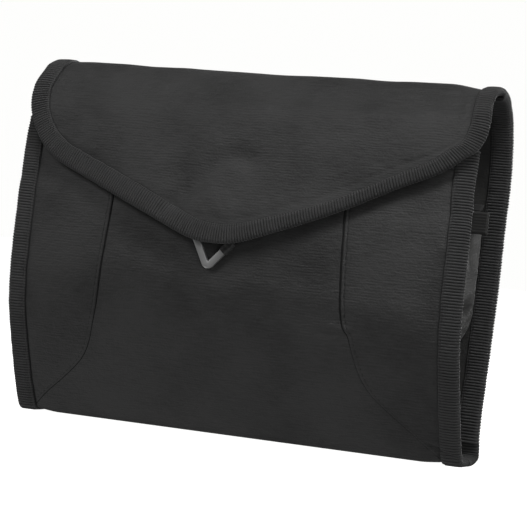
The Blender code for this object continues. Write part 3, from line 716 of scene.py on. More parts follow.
def ribbed_tape(name, colour):
    """Grosgrain: its ribs are in the mesh, so this adds the threads that wrap each rib."""
    made, tree, shader = new_material(name, 0.62, sheen=0.18)
    vector, across, along = cloth_place(tree)
    threads = waves(tree, across, 0.00045)
    slub = noise_node(tree, vector, 1400, 1)
    wear = noise_node(tree, vector, 45, 2)
    # Painted shade and highlight: the colour is darkest in the grooves between the ribs and brightest on
    # their tops.
    ridge = math_node(tree, "ABSOLUTE", waves(tree, along, 2 * RIB_PITCH))
    # Painted shade: the thin lip past the tape's width is coloured black, as a painted shadow line along the
    # tape's inner edge.
    painted_shade_lip = math_node(tree, "GREATER_THAN", across, BINDING_WIDTH + 0.00006)
    shade = summed(tree, (slub, 0.3), (wear, 0.5), (ridge, 0.9), (painted_shade_lip, -1.0))
    stops = [(0.52, scaled(colour, 0.02)), (1.22, scaled(colour, 3.1))]
    tree.links.new(ramp_node(tree, shade, stops), shader.inputs["Base Color"])
    height = summed(tree, threads, (slub, 1.5))
    tree.links.new(bump_node(tree, height, 0.00006), shader.inputs["Normal"])
    return made


def object_noise(tree, scale, detail=2.0):
    where = tree.nodes.new("ShaderNodeTexCoord")
    return noise_node(tree, where.outputs["Object"], scale, detail)


def plain(name, colour, roughness, scale, distance, metallic=0.0, sheen=0.0, contrast=0.2):
    """A material whose grain and tint come from noise in the object's own space."""
    made, tree, shader = new_material(name, roughness, metallic, sheen)
    grain = object_noise(tree, scale)
    tint = object_noise(tree, scale / 12, 3)
    stops = [(0.3, scaled(colour, 1 - contrast)), (0.7, scaled(colour, 1 + contrast))]
    tree.links.new(ramp_node(tree, tint, stops), shader.inputs["Base Color"])
    rough = summed(tree, (tint, 0.2), roughness - 0.1)
    tree.links.new(rough, shader.inputs["Roughness"])
    tree.links.new(bump_node(tree, grain, distance), shader.inputs["Normal"])
    return made


SHELL = woven("black_polyester", (0.0262, 0.0262, 0.0260), rib_pitch=0.0015, thread_pitch=0.0006,
              relief_height=0.00009, roughness=0.58, sheen=0.12, contrast=0.55)
LINING = woven("black_lining", (0.024, 0.024, 0.023), rib_pitch=0.0008, thread_pitch=0.0005,
               relief_height=0.00006, roughness=0.50, sheen=0.10)
POCKET = woven("grey_pocket_nylon", (0.072, 0.072, 0.070), rib_pitch=0.0009, thread_pitch=0.0006,
               relief_height=0.00006, roughness=0.42, sheen=0.20)
TAPE = ribbed_tape("black_grosgrain", (0.0142, 0.0142, 0.0142))
ZIP_TAPE = plain("black_zip_tape", (0.018, 0.018, 0.018), 0.75, 2500, 0.0001, sheen=0.1)
# Near-black, as painted shade for the seams' grooves.
SEAM_PAINTED_SHADE = plain("seam_groove_painted_shade", (0.003, 0.003, 0.003), 0.9, 4000, 0.00003)
THREAD = plain("black_thread", (0.012, 0.012, 0.012), 0.55, 4000, 0.00005)
TAB = plain("black_tab_tape", (0.027, 0.027, 0.026), 0.7, 2200, 0.0001, sheen=0.1)
FOAM = plain("grey_foam", (0.20, 0.20, 0.20), 0.9, 1500, 0.0003)
NET = plain("black_net", (0.018, 0.018, 0.018), 0.7, 3000, 0.00005)
FUZZ = plain("black_hook_and_loop", (0.014, 0.014, 0.014), 0.9, 1800, 0.0003, sheen=0.3)
COIL = plain("black_zip_coil", (0.016, 0.016, 0.016), 0.35, 900, 0.00003)
RING_METAL = plain("satin_ring_metal", (0.50, 0.50, 0.50), 0.45, 700, 0.00002, metallic=0.85)
ZIP_METAL = plain("dark_zip_metal", (0.16, 0.16, 0.165), 0.34, 900, 0.00002, metallic=1.0)


def finish_piece(obj, material, slot, *nodes):
    """Gives a piece its material and hides the CAD nodes it stands for; slot is not used."""
    obj.data.materials.append(material)
    if nodes:
        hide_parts(*nodes)
    return obj


def bend(obj):
    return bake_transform(obj)


# The tape round the edges, and its stitches.

def measured(path):
    """The length along a path at each of its rows."""
    return lengths_along(surface(path[:, 0], path[:, 1]))


def tape_outline(stack):
    """The folded tape's section, as rows (inset, depth, rib push along inset, rib push along depth)."""
    face = np.array([
        (0.01170, 0.00030, 0, 0), (0.01150, 0.00000, 0, 0), (0.01108, -0.00004, 0, 0),
        (0.01100, -0.00050, 0, 0), (0.01078, -0.00078, 0, 0), (0.01035, -0.00084, 0, -0.1),
        (0.00985, -0.00066, 0, -0.5), (0.00925, -0.00086, 0, -1),
        (0.00750, -0.00102, 0, -1), (0.00550, -0.00108, 0, -1), (0.00350, -0.00108, 0, -1),
        (0.00200, -0.00098, -0.2, -1), (0.00095, -0.00066, -0.6, -0.8), (0.00025, 0.00002, -0.9, -0.3),
    ])
    fold = np.array([(0.0, stack / 2, -1, 0)])
    rear = face[::-1] * [1, -1, 1, -1] + [0, stack, 0, 0]
    inside = np.array([(0.0007, stack + 0.0001, 0, 0), (0.0007, -0.0001, 0, 0)])
    return np.vstack([face, fold, rear, inside])


def tape(name, path, stack):
    """Ribbed tape folded over an edge, with every rib in the mesh."""
    lengths = measured(path)
    ribs = int(lengths[-1] / RIB_PITCH)
    pitch = lengths[-1] / ribs
    shares = np.arange(ribs)[:, None] + [share for share, _ in RIB_SHAPE]
    where = np.append(shares.ravel() * pitch, lengths[-1])
    heights = np.append(np.tile([height for _, height in RIB_SHAPE], ribs), 0.0)
    uneven = 1 + 0.25 * noise(where / 0.004, 7.3)
    heights = heights * uneven * RIB_HEIGHT
    rows = at_lengths(path, lengths, where)
    outline = tape_outline(stack)
    waver = 0.00025 * noise(where / 0.009, 2.2) + 0.0001 * noise(where / 0.0025, 5.1)
    inset = outline[None, :, 0] + heights[:, None] * outline[None, :, 2]
    inset = inset + waver[:, None] * ease(outline[None, :, 0], 0.004, 0.0105)
    depth = outline[None, :, 1] + heights[:, None] * outline[None, :, 3]
    x = rows[:, 0:1] + inset * rows[:, 2:3]
    s = rows[:, 1:2] + inset * rows[:, 3:4]
    along = where / pitch * RIB_PITCH
    cloth = np.stack(np.broadcast_arrays(outline[None, :, 0], along[:, None]), -1).reshape(-1, 2)
    return tube(name, place(x, s, depth), uv=cloth)


def stitches(name, path, inset, depth):
    """A row of thread stitches at an inset from the path, half sunk in the cloth."""
    lengths = measured(path)
    count = int((lengths[-1] - STITCH_LENGTH) / STITCH_PITCH)
    starts = (lengths[-1] - count * STITCH_PITCH) / 2 + np.arange(count) * STITCH_PITCH
    where = starts[:, None] + STITCH_SHAPE[:, 0] * STITCH_LENGTH
    rows = at_lengths(path, lengths, where)
    x, s = np.moveaxis(rows[..., :2] + inset * rows[..., 2:], -1, 0)
    normal = outward(x, s)
    sunk = (STITCH_SHAPE[:, 2] * STITCH_RADIUS)[None, :, None]
    centres = place(x, s, np.full(x.shape, depth)) - normal * sunk
    side = unit(np.cross(unit(np.gradient(centres, axis=1)), normal))
    radius = (STITCH_SHAPE[:, 1] * STITCH_RADIUS)[None, :, None, None]
    points = cord_rings(centres, side, normal, radius, 6)
    return make_object(name, points.reshape(-1, 3), rods(count, len(STITCH_SHAPE), 6), sharp_angle=80)


def bound_edge(name, path, stack, stretch, *nodes):
    """Tape and its outer and inner stitches on one edge."""
    made = finish_piece(tape(f"tape_{name}", path, stack), TAPE, "binding_tape", *nodes)
    bend(made)
    for face, depth in (("outer", -0.00090), ("inner", stack + 0.00090)):
        row = stitches(f"stitches_{name}_{face}", path, STITCH_INSET, depth)
        bend(finish_piece(row, THREAD, "binding_tape"))


def all_edges():
    runs = (
        ("front", S_FRONT_TOP, S_BASE, THIN_STACK, ["front_binding"]),
        ("base", S_BASE, S_REAR_SPLIT, THIN_STACK, ["bottom_binding"]),
        ("back", S_REAR_SPLIT, S_APEX, BACK_STACK, ["back_binding", "top_binding"]),
    )
    for side, word in ((-1, "left"), (1, "right")):
        for stretch, start, end, stack, nodes in runs:
            named = [f"{node}_{word}" for node in nodes]
            bound_edge(f"{stretch}_{word}", edge_path(side, start, end), stack, stretch, *named)
    bound_edge("flap", flap_path(), THIN_STACK, "flap", "flap_binding")
    reach = HALF_WIDTH - BINDING_WIDTH - 0.0004
    across, flat = np.linspace(-reach, reach, PATH_POINTS), np.ones(PATH_POINTS)
    top = np.column_stack([across, S_FRONT_TOP * flat, 0 * flat, flat])
    bound_edge("front_top", top, THIN_STACK, "front", "front_top_binding")


# Panels of the outer fabric and the lining.

def beside_tape(edge):
    """How far the fabric dips where the tape is sewn down, by its distance from the bound edge."""
    return 0.00035 * hump(edge, BINDING_WIDTH + 0.0006, 0.0012)


def grid_area(points):
    """The area of a grid of points."""
    down, across = np.diff(points, axis=0)[:, :-1], np.diff(points, axis=1)[:-1]
    return float(np.linalg.norm(np.cross(down, across), axis=-1).sum())


def declare_sheet(x, s):
    """Works out the width and length of the flat piece a panel was cut as, from its area, and keeps nothing.
    """
    width, length = float(np.ptp(x)), float(np.ptp(s))
    area = grid_area(surface(x, s))
    width, length = max(width, area / length), max(length, area / width)


OUTER = (SHELL, "shell_fabric", OUTER_THICKNESS)
INNER = (LINING, "lining_fabric", LINING_THICKNESS)


def panel(name, layer, x, s, depth, held, stretch, *nodes):
    """A panel of the outer fabric or of the lining, over grids of x and s."""
    material, slot, thickness = layer
    made = slab(name, x, s, depth, thickness)
    finish_piece(made, material, slot, *nodes)
    declare_sheet(x, s)
    bend(made)


def both_layers(stretch, x, s, from_edge, lining_depth, *nodes):
    """The outer fabric and the lining of the flap, the back or the base."""
    outer_nodes, lining_nodes = [[f"{node}_{kind}" for node in nodes] for kind in ("panel", "lining")]
    panel(f"{stretch}_shell", OUTER, x, s, beside_tape(from_edge), "folded", stretch, *outer_nodes)
    panel(f"{stretch}_lining_cloth", INNER, x, s, lining_depth, "folded", stretch, *lining_nodes)


def straight_grid(low, high):
    s, x = np.meshgrid(even_steps(low, high), even_steps(-PANEL_EDGE, PANEL_EDGE), indexing="ij")
    return x, s


def flap_grid():
    across = even_steps(-PANEL_EDGE, PANEL_EDGE)
    ends = s_on("flap", np.maximum(flap_low(across, EDGE_INSET), FLAP_TIP + EDGE_INSET))
    share = np.linspace(0, 1, FLAP_ROWS)[:, None]
    s = S_APEX + share * (ends - S_APEX)[None, :]
    return np.broadcast_to(across, s.shape), s


def flap():
    x, s = flap_grid()
    both_layers("flap", x, s, edge_distance(x, height_at(s)), LINING_DEPTH, "flap")


def back():
    x, s = straight_grid(S_REAR_SPLIT, S_APEX)
    both_layers("back", x, s, HALF_WIDTH - np.abs(x), BACK_LINING_DEPTH, "back", "top")
    x, s = straight_grid(S_REAR_SPLIT, float(s_on("back", FOAM_TOP)))
    pad = slab("back_padding", x, s, LINING_DEPTH, FOAM_THICKNESS)
    finish_piece(pad, FOAM, "foam", "back_foam")
    bend(pad)


def base():
    x, s = straight_grid(S_BASE, S_REAR_SPLIT)
    both_layers("base", x, s, HALF_WIDTH - np.abs(x), LINING_DEPTH, "bottom")


# Distances from a seam at which the panel beside it has a column of points.
SEAM_STEPS = np.array([
    0, 0.0002, 0.0005, 0.0008, 0.0011, 0.0014, 0.0018, 0.0021, 0.0024, 0.0027, 0.0031, 0.0040,
])


def front_columns(left, right, count, seam_right):
    """An x grid between two limits for each s, with fine columns beside its seams."""
    near_right = SEAM_STEPS if seam_right else np.array([0.0])
    start, end = left + SEAM_STEPS[-1], right - near_right[-1]
    share = np.linspace(0, 1, count)[None, 1:-1]
    middle = start[:, None] + share * (end - start)[:, None]
    return np.hstack([left[:, None] + SEAM_STEPS, middle, right[:, None] - near_right[::-1]])


def front_panel(name, x, s, depth, *nodes):
    s = np.broadcast_to(s[:, None], x.shape)
    dip = beside_tape(HALF_WIDTH - np.abs(x))
    panel(name, OUTER, x, s, depth + dip, "stretched", "front", *nodes)


def seam_cord(name, path, strength):
    """A fine near-black cord in a seam's gap, painted shade for the seam's sunken groove; it thins out where
    the seam lies flat.
    """
    x, s = path[:, 0], path[:, 1]
    centres = place(x, s, np.full(len(x), 0.00015))
    normal = outward(x, s)
    side = unit(np.cross(unit(np.gradient(centres, axis=0)), normal))
    rings = cord_rings(centres, side, normal, (SEAM_CORD_RADIUS * strength)[:, None, None], 8)
    made = tube(name, rings, sharp_angle=80)
    bend(finish_piece(made, SEAM_PAINTED_SHADE, "shell_fabric"))


def seam_at(side, s):
    """Where a seam of the front lies across the strip."""
    return side * smooth(SEAM_CURVE, height_at(s)) + smooth(SEAM_WANDER[side], height_at(s))


def front():
    s = even_steps(S_FRONT_TOP + EDGE_INSET, S_BASE, 0.001)
    left, right = seam_at(-1, s), seam_at(1, s)
    x = front_columns(left + SEAM_HALF_GAP, right - SEAM_HALF_GAP, 90, True)
    near = np.minimum(right[:, None] - x, x - left[:, None])
    strength = (0.15 + 0.85 * ease(height_at(s), 0.050, 0.085))[:, None]
    front_panel("front_center_shell", x, s, 0.0007 * strength * hump(near, 0, 0.0005), "front_center_panel")
    for side, word, seam in ((-1, "left", -left), (1, "right", right)):
        x = side * front_columns(seam + SEAM_HALF_GAP, np.full(len(s), PANEL_EDGE), 40, False)
        near = np.abs(x) - seam[:, None]
        ridge = 0.0006 * hump(near, 0, 0.0004) - 0.00035 * hump(near, 0.0012, 0.0007)
        groove = 0.00025 * hump(near, 0.0023, 0.0003)
        front_panel(f"front_{word}_shell", x, s, (ridge + groove) * strength, f"front_side_panel_{word}")
        path = np.column_stack([side * seam, s, np.full(len(s), side), np.zeros(len(s))])
        # The seam's dark line is a near-black cord: painted shade in its groove.
        seam_cord(f"seam_{word}", path, np.maximum(strength[:, 0], 0.55 if side < 0 else 0.0))
        row = stitches(f"stitches_seam_{word}", path, 0.0023, 0.0001)
        bend(finish_piece(row, THREAD, "shell_fabric"))
    x, s = straight_grid(S_FRONT_TOP + EDGE_INSET, S_BASE)
    panel("front_lining_cloth", INNER, x, s, LINING_DEPTH, "stretched", "front", "front_lining")


# The mesh slip pocket inside the front.

def slip_pocket():
    """A net of diamonds, with a ribbed band along its mouth."""
    cell = 0.0032
    columns, rows = int(2 * MESH_HALF_WIDTH / cell), int((MESH_HIGH - MESH_LOW) / cell) + 1
    low, high = s_on("front", MESH_HIGH), s_on("front", MESH_LOW)
    points, faces = [], []
    index = {}

    def knot(i, k):
        if (i, k) not in index:
            index[i, k] = len(points)
            x = -MESH_HALF_WIDTH + (k + 0.5 * (i % 2)) * cell
            points.append((x, low + (high - low) * i / (2 * rows)))
        return index[i, k]

    for i in range(1, 2 * rows):
        for k in range(columns):
            shift = i % 2
            faces.append((knot(i - 1, k + shift), knot(i, k), knot(i + 1, k + shift), knot(i, k + 1)))
    places = np.array(points)
    world = place(places[:, 0], places[:, 1], np.full(len(places), MESH_DEPTH))
    net = make_object("mesh_net", world, faces)
    wires = net.modifiers.new("wires", "WIREFRAME")
    wires.thickness = 0.0005
    wires.use_even_offset = False
    applied(net)
    finish_piece(net, NET, "mesh", "mesh_pocket")
    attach(net, "front")
    x, s = np.meshgrid(
        even_steps(-MESH_HALF_WIDTH, MESH_HALF_WIDTH),
        even_steps(float(s_on("front", MESH_HIGH + BAND_HEIGHT)), float(low), 0.0005),
    )
    ribs = 0.0001 * np.sin(x * math.tau / (4 * CELL))
    band = slab("mesh_band", x, s, MESH_DEPTH + ribs, 0.0011)
    finish_piece(band, TAPE, "binding_tape", "mesh_pocket_band")
    declare_sheet(x, s)
    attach(band, "front")


def applied(obj):
    """Replaces an object's mesh with what its modifiers make of it."""
    graph = bpy.context.evaluated_depsgraph_get()
    graph.update()
    made = bpy.data.meshes.new_from_object(obj.evaluated_get(graph))
    obj.modifiers.clear()
    obj.data = made
    return obj


# The hook-and-loop patches.

def patch(name, part, depth, direction, body, node):
    """A backing covered in short stubs, which stand out on one side."""
    low, high = sorted(float(s_on(part, z)) for z in (PATCH_LOW, PATCH_HIGH))
    left = FLAP_TIP_SHIFT - PATCH_HALF_WIDTH
    x, s = np.meshgrid(even_steps(left, left + 2 * PATCH_HALF_WIDTH), even_steps(low, high))
    backing = slab(name, x, s, depth, 0.0005)
    finish_piece(backing, FUZZ, "hook_and_loop", node)
    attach(backing, body)
    pitch, height, radius, sides = 0.0011, 0.0006, 0.00016, 5
    x, s = np.meshgrid(
        np.arange(left + pitch, left + 2 * PATCH_HALF_WIDTH - pitch / 2, pitch),
        np.arange(low + pitch, high - pitch / 2, pitch),
    )
    x = (x + 0.0003 * noise(x / 0.0007, s / 0.0007)).ravel()
    s = (s + 0.0003 * noise(s / 0.0007, x[0] + s / 0.0005)).ravel()
    foot = depth + (0.0003 if direction < 0 else 0.0002)
    across, up = np.eye(3)[[0, 2]]
    rings = []
    for share, size in ((0.0, 1.0), (0.6, 0.7), (1.0, 0.9)):
        centres = place(x, s, np.full(x.shape, foot + direction * share * height))
        rings.append(cord_rings(centres, across, up, radius * size, sides))
    points = np.stack(rings, 1).reshape(-1, 3)
    stubs = make_object(f"{name}_stubs", points, rods(len(x), len(rings), sides))
    finish_piece(stubs, FUZZ, "hook_and_loop")
    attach(stubs, body)


# The ring and its webbing.

def hang(across, out, up):
    """World point from a place beside the ring's bar, turned by the ring's slight skew."""
    return RING_BAR + Matrix.Rotation(RING_SKEW, 4, "Y") @ Vector((across, out, up))


def ring():
    """A flat bar bent into a triangle, point down, with rounded corners and softened edges."""
    triangle = ((-RING_HALF_WIDTH, 0), (0, -RING_DROP), (RING_HALF_WIDTH, 0))
    corners = [(RING_OFFSET + x, z) for x, z in triangle]
    half_width, half_thick, soft = RING_WIRE_WIDTH / 2, RING_WIRE_THICKNESS / 2, 0.0007
    section = []
    for quarter, (u, v) in enumerate(((1, 1), (-1, 1), (-1, -1), (1, -1))):
        for turn in np.linspace(0, math.pi / 2, 5):
            angle = turn + quarter * math.pi / 2
            section.append((u * (half_width - soft) + soft * math.cos(angle),
                            v * (half_thick - soft) + soft * math.sin(angle)))
    sections = []
    for i, corner in enumerate(corners):
        here = Vector(corner)
        before = (Vector(corners[i - 1]) - here).normalized()
        after = (Vector(corners[(i + 1) % 3]) - here).normalized()
        half_angle = before.angle(after) / 2
        centre = here + (before + after).normalized() * RING_CORNER_RADIUS / math.sin(half_angle)
        start = here + before * RING_CORNER_RADIUS / math.tan(half_angle) - centre
        end = here + after * RING_CORNER_RADIUS / math.tan(half_angle) - centre
        turn = start.angle_signed(end)
        for share in np.linspace(0, 1, 14):
            arm = Matrix.Rotation(-turn * share, 2) @ start
            spot, away = centre + arm, arm.normalized()
            sections.append([hang(spot.x + away.x * u, v, spot.y + away.y * u) for u, v in section])
    made = tube("ring_metal", sections, closed=True, sharp_angle=60)
    finish_piece(made, RING_METAL, "metal", "hanger_ring")
    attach(made, "hanger_ring")


def webbing_side(radius, tail):
    """One face of the webbing: down one end, round the bar and up the other."""
    up = np.linspace(LOOP_TOP, LOOP_MERGE, 60)
    turn = np.linspace(0, math.pi, 40)
    down = np.column_stack([tail + LOOP_LEAN * up, up])
    round_bar = np.column_stack([radius * np.cos(turn), -radius * np.sin(turn)])
    return np.vstack([down, round_bar, np.column_stack([-tail + LOOP_LEAN * up, up])[::-1]])


def webbing():
    """Ribbed webbing folded round the ring's bar, sewn in behind the flap's tip."""
    outer = webbing_side(LOOP_INNER_RADIUS + LOOP_THICKNESS, 0.00015 + LOOP_THICKNESS)
    inner = webbing_side(LOOP_INNER_RADIUS, 0.00015)
    lengths = lengths_along(outer)
    even = np.arange(0, lengths[-1], 0.00025)
    outer, inner = [at_lengths(side, lengths, even) for side in (outer, inner)]
    away = unit(outer - inner)
    outer = outer + away * (0.00012 * np.abs(np.sin(even * math.pi / 0.0013)))[:, None]
    outline = np.vstack([outer, inner[::-1]])
    across = np.array([-1, -0.97, -0.5, 0, 0.5, 0.97, 1]) * LOOP_HALF_WIDTH
    sections = [[hang(x, out, up) for out, up in outline] for x in across]
    cloth = [(np.hypot(*outline[k]), x) for x in across for k in range(len(outline))]
    made = tube("ring_webbing", sections, uv=cloth)
    finish_piece(made, TAPE, "binding_tape", "hanger_loop")
    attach(made, "flap")


def webbing_wrap():
    """The folded end of the webbing, which covers the upper half of the ring's right-hand arm."""
    start = Vector((RING_OFFSET, -RING_DROP))
    end = Vector((RING_OFFSET + RING_HALF_WIDTH, 0))
    along = (end - start).normalized()
    side = Vector((along.y, -along.x))
    turns = np.linspace(0, math.tau, 24, endpoint=False)
    sections = []
    for share in np.linspace(0.60, 0.98, 24):
        centre = start + (end - start) * share
        rib = 0.00010 * math.sin(share * 40)
        wide, thick = RING_WIRE_WIDTH / 2 + 0.0005 + rib, RING_WIRE_THICKNESS / 2 + 0.0005 + rib
        spots = [(centre + side * wide * math.copysign(abs(math.cos(a)) ** 0.6, math.cos(a)),
                  thick * math.copysign(abs(math.sin(a)) ** 0.6, math.sin(a))) for a in turns]
        sections.append([hang(spot.x, out, spot.y) for spot, out in spots])
    cloth = [(share, turn * 0.001) for share in np.linspace(0, 0.008, 24) for turn in turns]
    made = finish_piece(tube("ring_webbing_wrap", sections, uv=cloth), TAPE, "binding_tape")
    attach(made, "hanger_ring")


# The zipped pocket, puffed up by a cloth simulation.

# How far the pocket's side walls are tucked in, (height, distance).
SIDE_TUCK = [
    (0.0, 0.0020), (0.030, 0.0020), (0.060, 0.0020), (0.072, 0.0030), (0.078, 0.0125),
    (0.083, 0.0125), (0.0875, 0.0010), (0.100, 0.0), (0.130, 0.0),
]
SIDE_POINTS = 11
FOLD_HEIGHT = 0.079
# How much narrower the pocket's foot is at each side, and how much higher its rear edge ends.
FOOT_NARROWING = 0.0135
REAR_LIFT = 0.0125
REAR_GAP = 0.0014
PUFF_FRAMES = 20
PUFF_REACH = 0.0050


def pocket_rest():
    """The pocket's wall before it is puffed: grids of points and of cloth places."""
    heights = np.linspace(POCKET_LOW, POCKET_HIGH, 40)
    face = even_steps(-POCKET_HALF_WIDTH, POCKET_HALF_WIDTH, 0.004)
    depth_shares = np.linspace(1, 0, SIDE_POINTS + 1)[:-1]
    back_edge = edge_and_middle(BACK_PROFILE)[0]
    pocket_edge, pocket_middle = edge_and_middle(POCKET_PROFILE)
    rows = []
    for z in heights:
        rear = float(smooth(back_edge, z)) - BACK_STACK - REAR_GAP
        tuck = float(smooth(SIDE_TUCK, z)) * np.sin(depth_shares * math.pi) ** 0.7
        half = POCKET_HALF_WIDTH - FOOT_NARROWING * (1 - float(ease(z, 0.045, 0.082)))
        full = 1 - np.minimum(np.abs(face) / POCKET_HALF_WIDTH, 1) ** PILLOW_POWER
        front = smooth(pocket_edge, z) * (1 - full) + smooth(pocket_middle, z) * full
        corner_y = float(front[0])
        side_y = corner_y + depth_shares * (rear - corner_y)
        lift = depth_shares * REAR_LIFT * ease(z, 0.085, POCKET_HIGH)
        left = np.column_stack([tuck - half, side_y, z + lift])
        middle = np.column_stack([face * half / POCKET_HALF_WIDTH, front, np.full(len(face), z)])
        rows.append(np.vstack([left, middle, left[::-1] * [-1, 1, 1]]))
    grid = np.array(rows)
    steps = np.linalg.norm(np.diff(grid, axis=1), axis=2)
    across = np.hstack([np.zeros((len(heights), 1)), np.cumsum(steps, axis=1)])
    cloth = np.stack([across, np.broadcast_to(heights[:, None], across.shape)], -1)
    return grid, cloth


def puffed(obj, pinned, cap):
    """Blows the cloth up for a moment, and keeps each point within cap of where it was."""
    rest = np.array([vertex.co for vertex in obj.data.vertices])
    group = obj.vertex_groups.new(name="pinned")
    group.add([int(i) for i in pinned], 1.0, "REPLACE")
    cloth = obj.modifiers.new("cloth", "CLOTH")
    cloth.settings.quality = 6
    cloth.settings.mass = 0.1
    cloth.settings.tension_stiffness = 12
    cloth.settings.compression_stiffness = 12
    cloth.settings.bending_stiffness = 0.05
    cloth.settings.use_pressure = True
    cloth.settings.uniform_pressure_force = 4
    cloth.settings.shrink_min = -0.05
    cloth.settings.vertex_group_mass = "pinned"
    cloth.settings.effector_weights.gravity = 0
    cloth.collision_settings.use_collision = False
    cloth.point_cache.frame_end = PUFF_FRAMES
    for number in range(1, PUFF_FRAMES + 1):
        bpy.context.scene.frame_set(number)
    graph = bpy.context.evaluated_depsgraph_get()
    moved = np.array([vertex.co for vertex in obj.evaluated_get(graph).data.vertices])
    obj.modifiers.clear()
    bpy.context.scene.frame_set(1)
    shift = moved - rest
    length = np.linalg.norm(shift, axis=1, keepdims=True)
    shift = shift * cap * np.tanh(length / cap) / np.maximum(length, 1e-9)
    obj.data.vertices.foreach_set("co", (rest + shift).ravel())


def pocket():
    grid, cloth = pocket_rest()
    rows, columns = grid.shape[:2]
    faces = grid_faces(rows, columns)
    made = make_object("pocket_cloth", grid.reshape(-1, 3), faces, cloth.reshape(-1, 2))
    index = np.arange(rows * columns).reshape(rows, columns)
    pinned = set(index[0]) | set(index[-1]) | set(index[:, 0]) | set(index[:, -1])
    # Each side wall stays creased where the full pocket buckles.
    fold_row = int(np.argmin(np.abs(grid[:, columns // 2, 2] - FOLD_HEIGHT)))
    pinned |= set(index[fold_row, :SIDE_POINTS]) | set(index[fold_row, -SIDE_POINTS:])
    puffed(made, pinned, PUFF_REACH)
    smoother = made.modifiers.new("smoother", "SUBSURF")
    smoother.levels = smoother.render_levels = 1
    thick = made.modifiers.new("thick", "SOLIDIFY")
    thick.thickness = POCKET_THICKNESS
    thick.offset = -1
    applied(made)
    finish_piece(faced_outwards(made), POCKET, "pocket_nylon", "pocket_face", "pocket_side_left",
                 "pocket_side_right")
    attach(made, "back")


# The zip.

def zip_cloth(name, node, slot):
    """A narrow strip of ribbed tape or cloth between the front and rear edges of its CAD node."""
    low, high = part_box(node)
    half = POCKET_THICKNESS / 2
    y = even_steps(low.y + half, high.y - half, 0.0005)
    x = even_steps(low.x, high.x, 0.0012)
    x, y = np.meshgrid(x, y)
    share = (y - y.min()) / (y.max() - y.min())
    z = low.z + half + (high.z - low.z - 2 * half) * share
    close = np.sin(share * math.pi)
    z += close * (0.00010 * np.sin(x * math.tau / 0.0055) + 0.00035 * noise(x / 0.012, y / 0.010))
    made = make_object(name, np.stack([x, y, z], -1).reshape(-1, 3), grid_faces(*x.shape))
    thick = made.modifiers.new("thick", "SOLIDIFY")
    thick.thickness = POCKET_THICKNESS
    thick.offset = 0
    applied(made)
    finish_piece(faced_outwards(made), ZIP_TAPE, slot, node)
    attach(made, "back")


def zip_coil(name, node):
    """A nylon coil where the CAD model has a plain row of teeth."""
    low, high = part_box(node)
    middle_y, middle_z = (low.y + high.y) / 2, (low.z + high.z) / 2
    pitch, wire, sides = 0.0016, 0.00030, 5
    turns = int(2 * ZIP_HALF_LENGTH / pitch)
    angle = np.arange(turns * 10) * math.tau / 10
    x = -ZIP_HALF_LENGTH + angle / math.tau * pitch
    slope = math.atan2(ZIP_REAR[1] - ZIP_FRONT[1], ZIP_REAR[0] - ZIP_FRONT[0])
    u, v = 0.00070 * np.cos(angle), 0.00060 * np.sin(angle)
    y = middle_y + u * math.cos(slope) - v * math.sin(slope)
    z = middle_z + u * math.sin(slope) + v * math.cos(slope)
    line = np.column_stack([x, y, z])
    along = unit(np.gradient(line, axis=0))
    side = unit(np.cross(along, [1.0, 0.0, 0.0]))
    rings = cord_rings(line, side, np.cross(along, side), wire, sides)
    made = finish_piece(tube(name, rings, sharp_angle=80), COIL, "zip_coil", node)
    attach(made, "back")


def zip_tabs():
    """Folded ends of tape that stand out sideways at the ends of the zip."""
    half = 0.0013
    for side, word in ((-1, "left"), (1, "right")):
        low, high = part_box(f"zip_tab_{word}")
        inner, outer = sorted((low.x, high.x), key=abs)
        reach = abs(outer) - abs(inner)
        turn = np.linspace(math.pi / 2, -math.pi / 2, 11)
        bulge = [(reach - half + half * math.cos(a), half * math.sin(a)) for a in turn]
        outline = [(0, half)] + bulge + [(0, -half)]
        sections = []
        levels = even_steps(TAB_LOW, TAB_HIGH, 0.0004)
        for z in levels:
            close = min(z - TAB_LOW, TAB_HIGH - z)
            thin = 0.55 + 0.45 * math.sqrt(min(close / 0.0008, 1))
            rib = 1 + 0.07 * math.sin(z * math.tau / RIB_PITCH)
            sections.append([(inner + side * u, TAB_Y + v * thin * rib, z) for u, v in outline])
        cloth = [(u, z) for z in levels for u, _ in outline]
        made = finish_piece(tube(f"tab_{word}", sections, uv=cloth), TAB, "binding_tape", f"zip_tab_{word}")
        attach(made, "back")


def cad_finishes():
    """A better material for the CAD nodes that stay, which are the zip's metal parts."""
    for node in ("zip_end_stop_left", "zip_end_stop_right", "zip_slider", "zip_pull"):
        frame["nodes"][node].material_slots[0].material = ZIP_METAL


# The setting.

def floor():
    """A wide floor that shines white. It neither blocks the low lights nor throws light on the bag."""
    size = 30.0
    points = [(-size, -size, 0), (size, -size, 0), (size, size, 0), (-size, size, 0)]
    made = make_object("floor", points, [(0, 1, 2, 3)])
    white, _, shader = new_material("pale_floor", 0.9)
    shader.inputs["Base Color"].default_value = (0.9, 0.9, 0.9, 1)
    shader.inputs["Emission Color"].default_value = (0.99, 0.99, 0.98, 1)
    shader.inputs["Emission Strength"].default_value = 1.0
    made.data.materials.append(white)
    made.visible_diffuse = False
    made.visible_glossy = False
    made.visible_shadow = False


def bearing(turn, rise):
    """Towards a turn round to the bag's right-hand side and a rise above level, in degrees."""
    turn, rise = math.radians(turn), math.radians(rise)
    return Vector((math.sin(turn) * math.cos(rise), -math.cos(turn) * math.cos(rise), math.sin(rise)))


LIGHT_DISTANCE = 1.7
LIGHT_AIM = Vector((0, 0, 0.11))


def area_light(name, turn, rise, power, size=0.8):
    """A soft light aimed at the bag."""
    towards = bearing(turn, rise)
    light = bpy.data.lights.new(name, "AREA")
    light.shape = "DISK"
    light.size = size
    light.energy = power
    obj = bpy.data.objects.new(name, light)
    obj.location = LIGHT_AIM + towards * LIGHT_DISTANCE
    obj.rotation_euler = towards.to_track_quat("Z", "Y").to_euler()
    bpy.context.scene.collection.objects.link(obj)


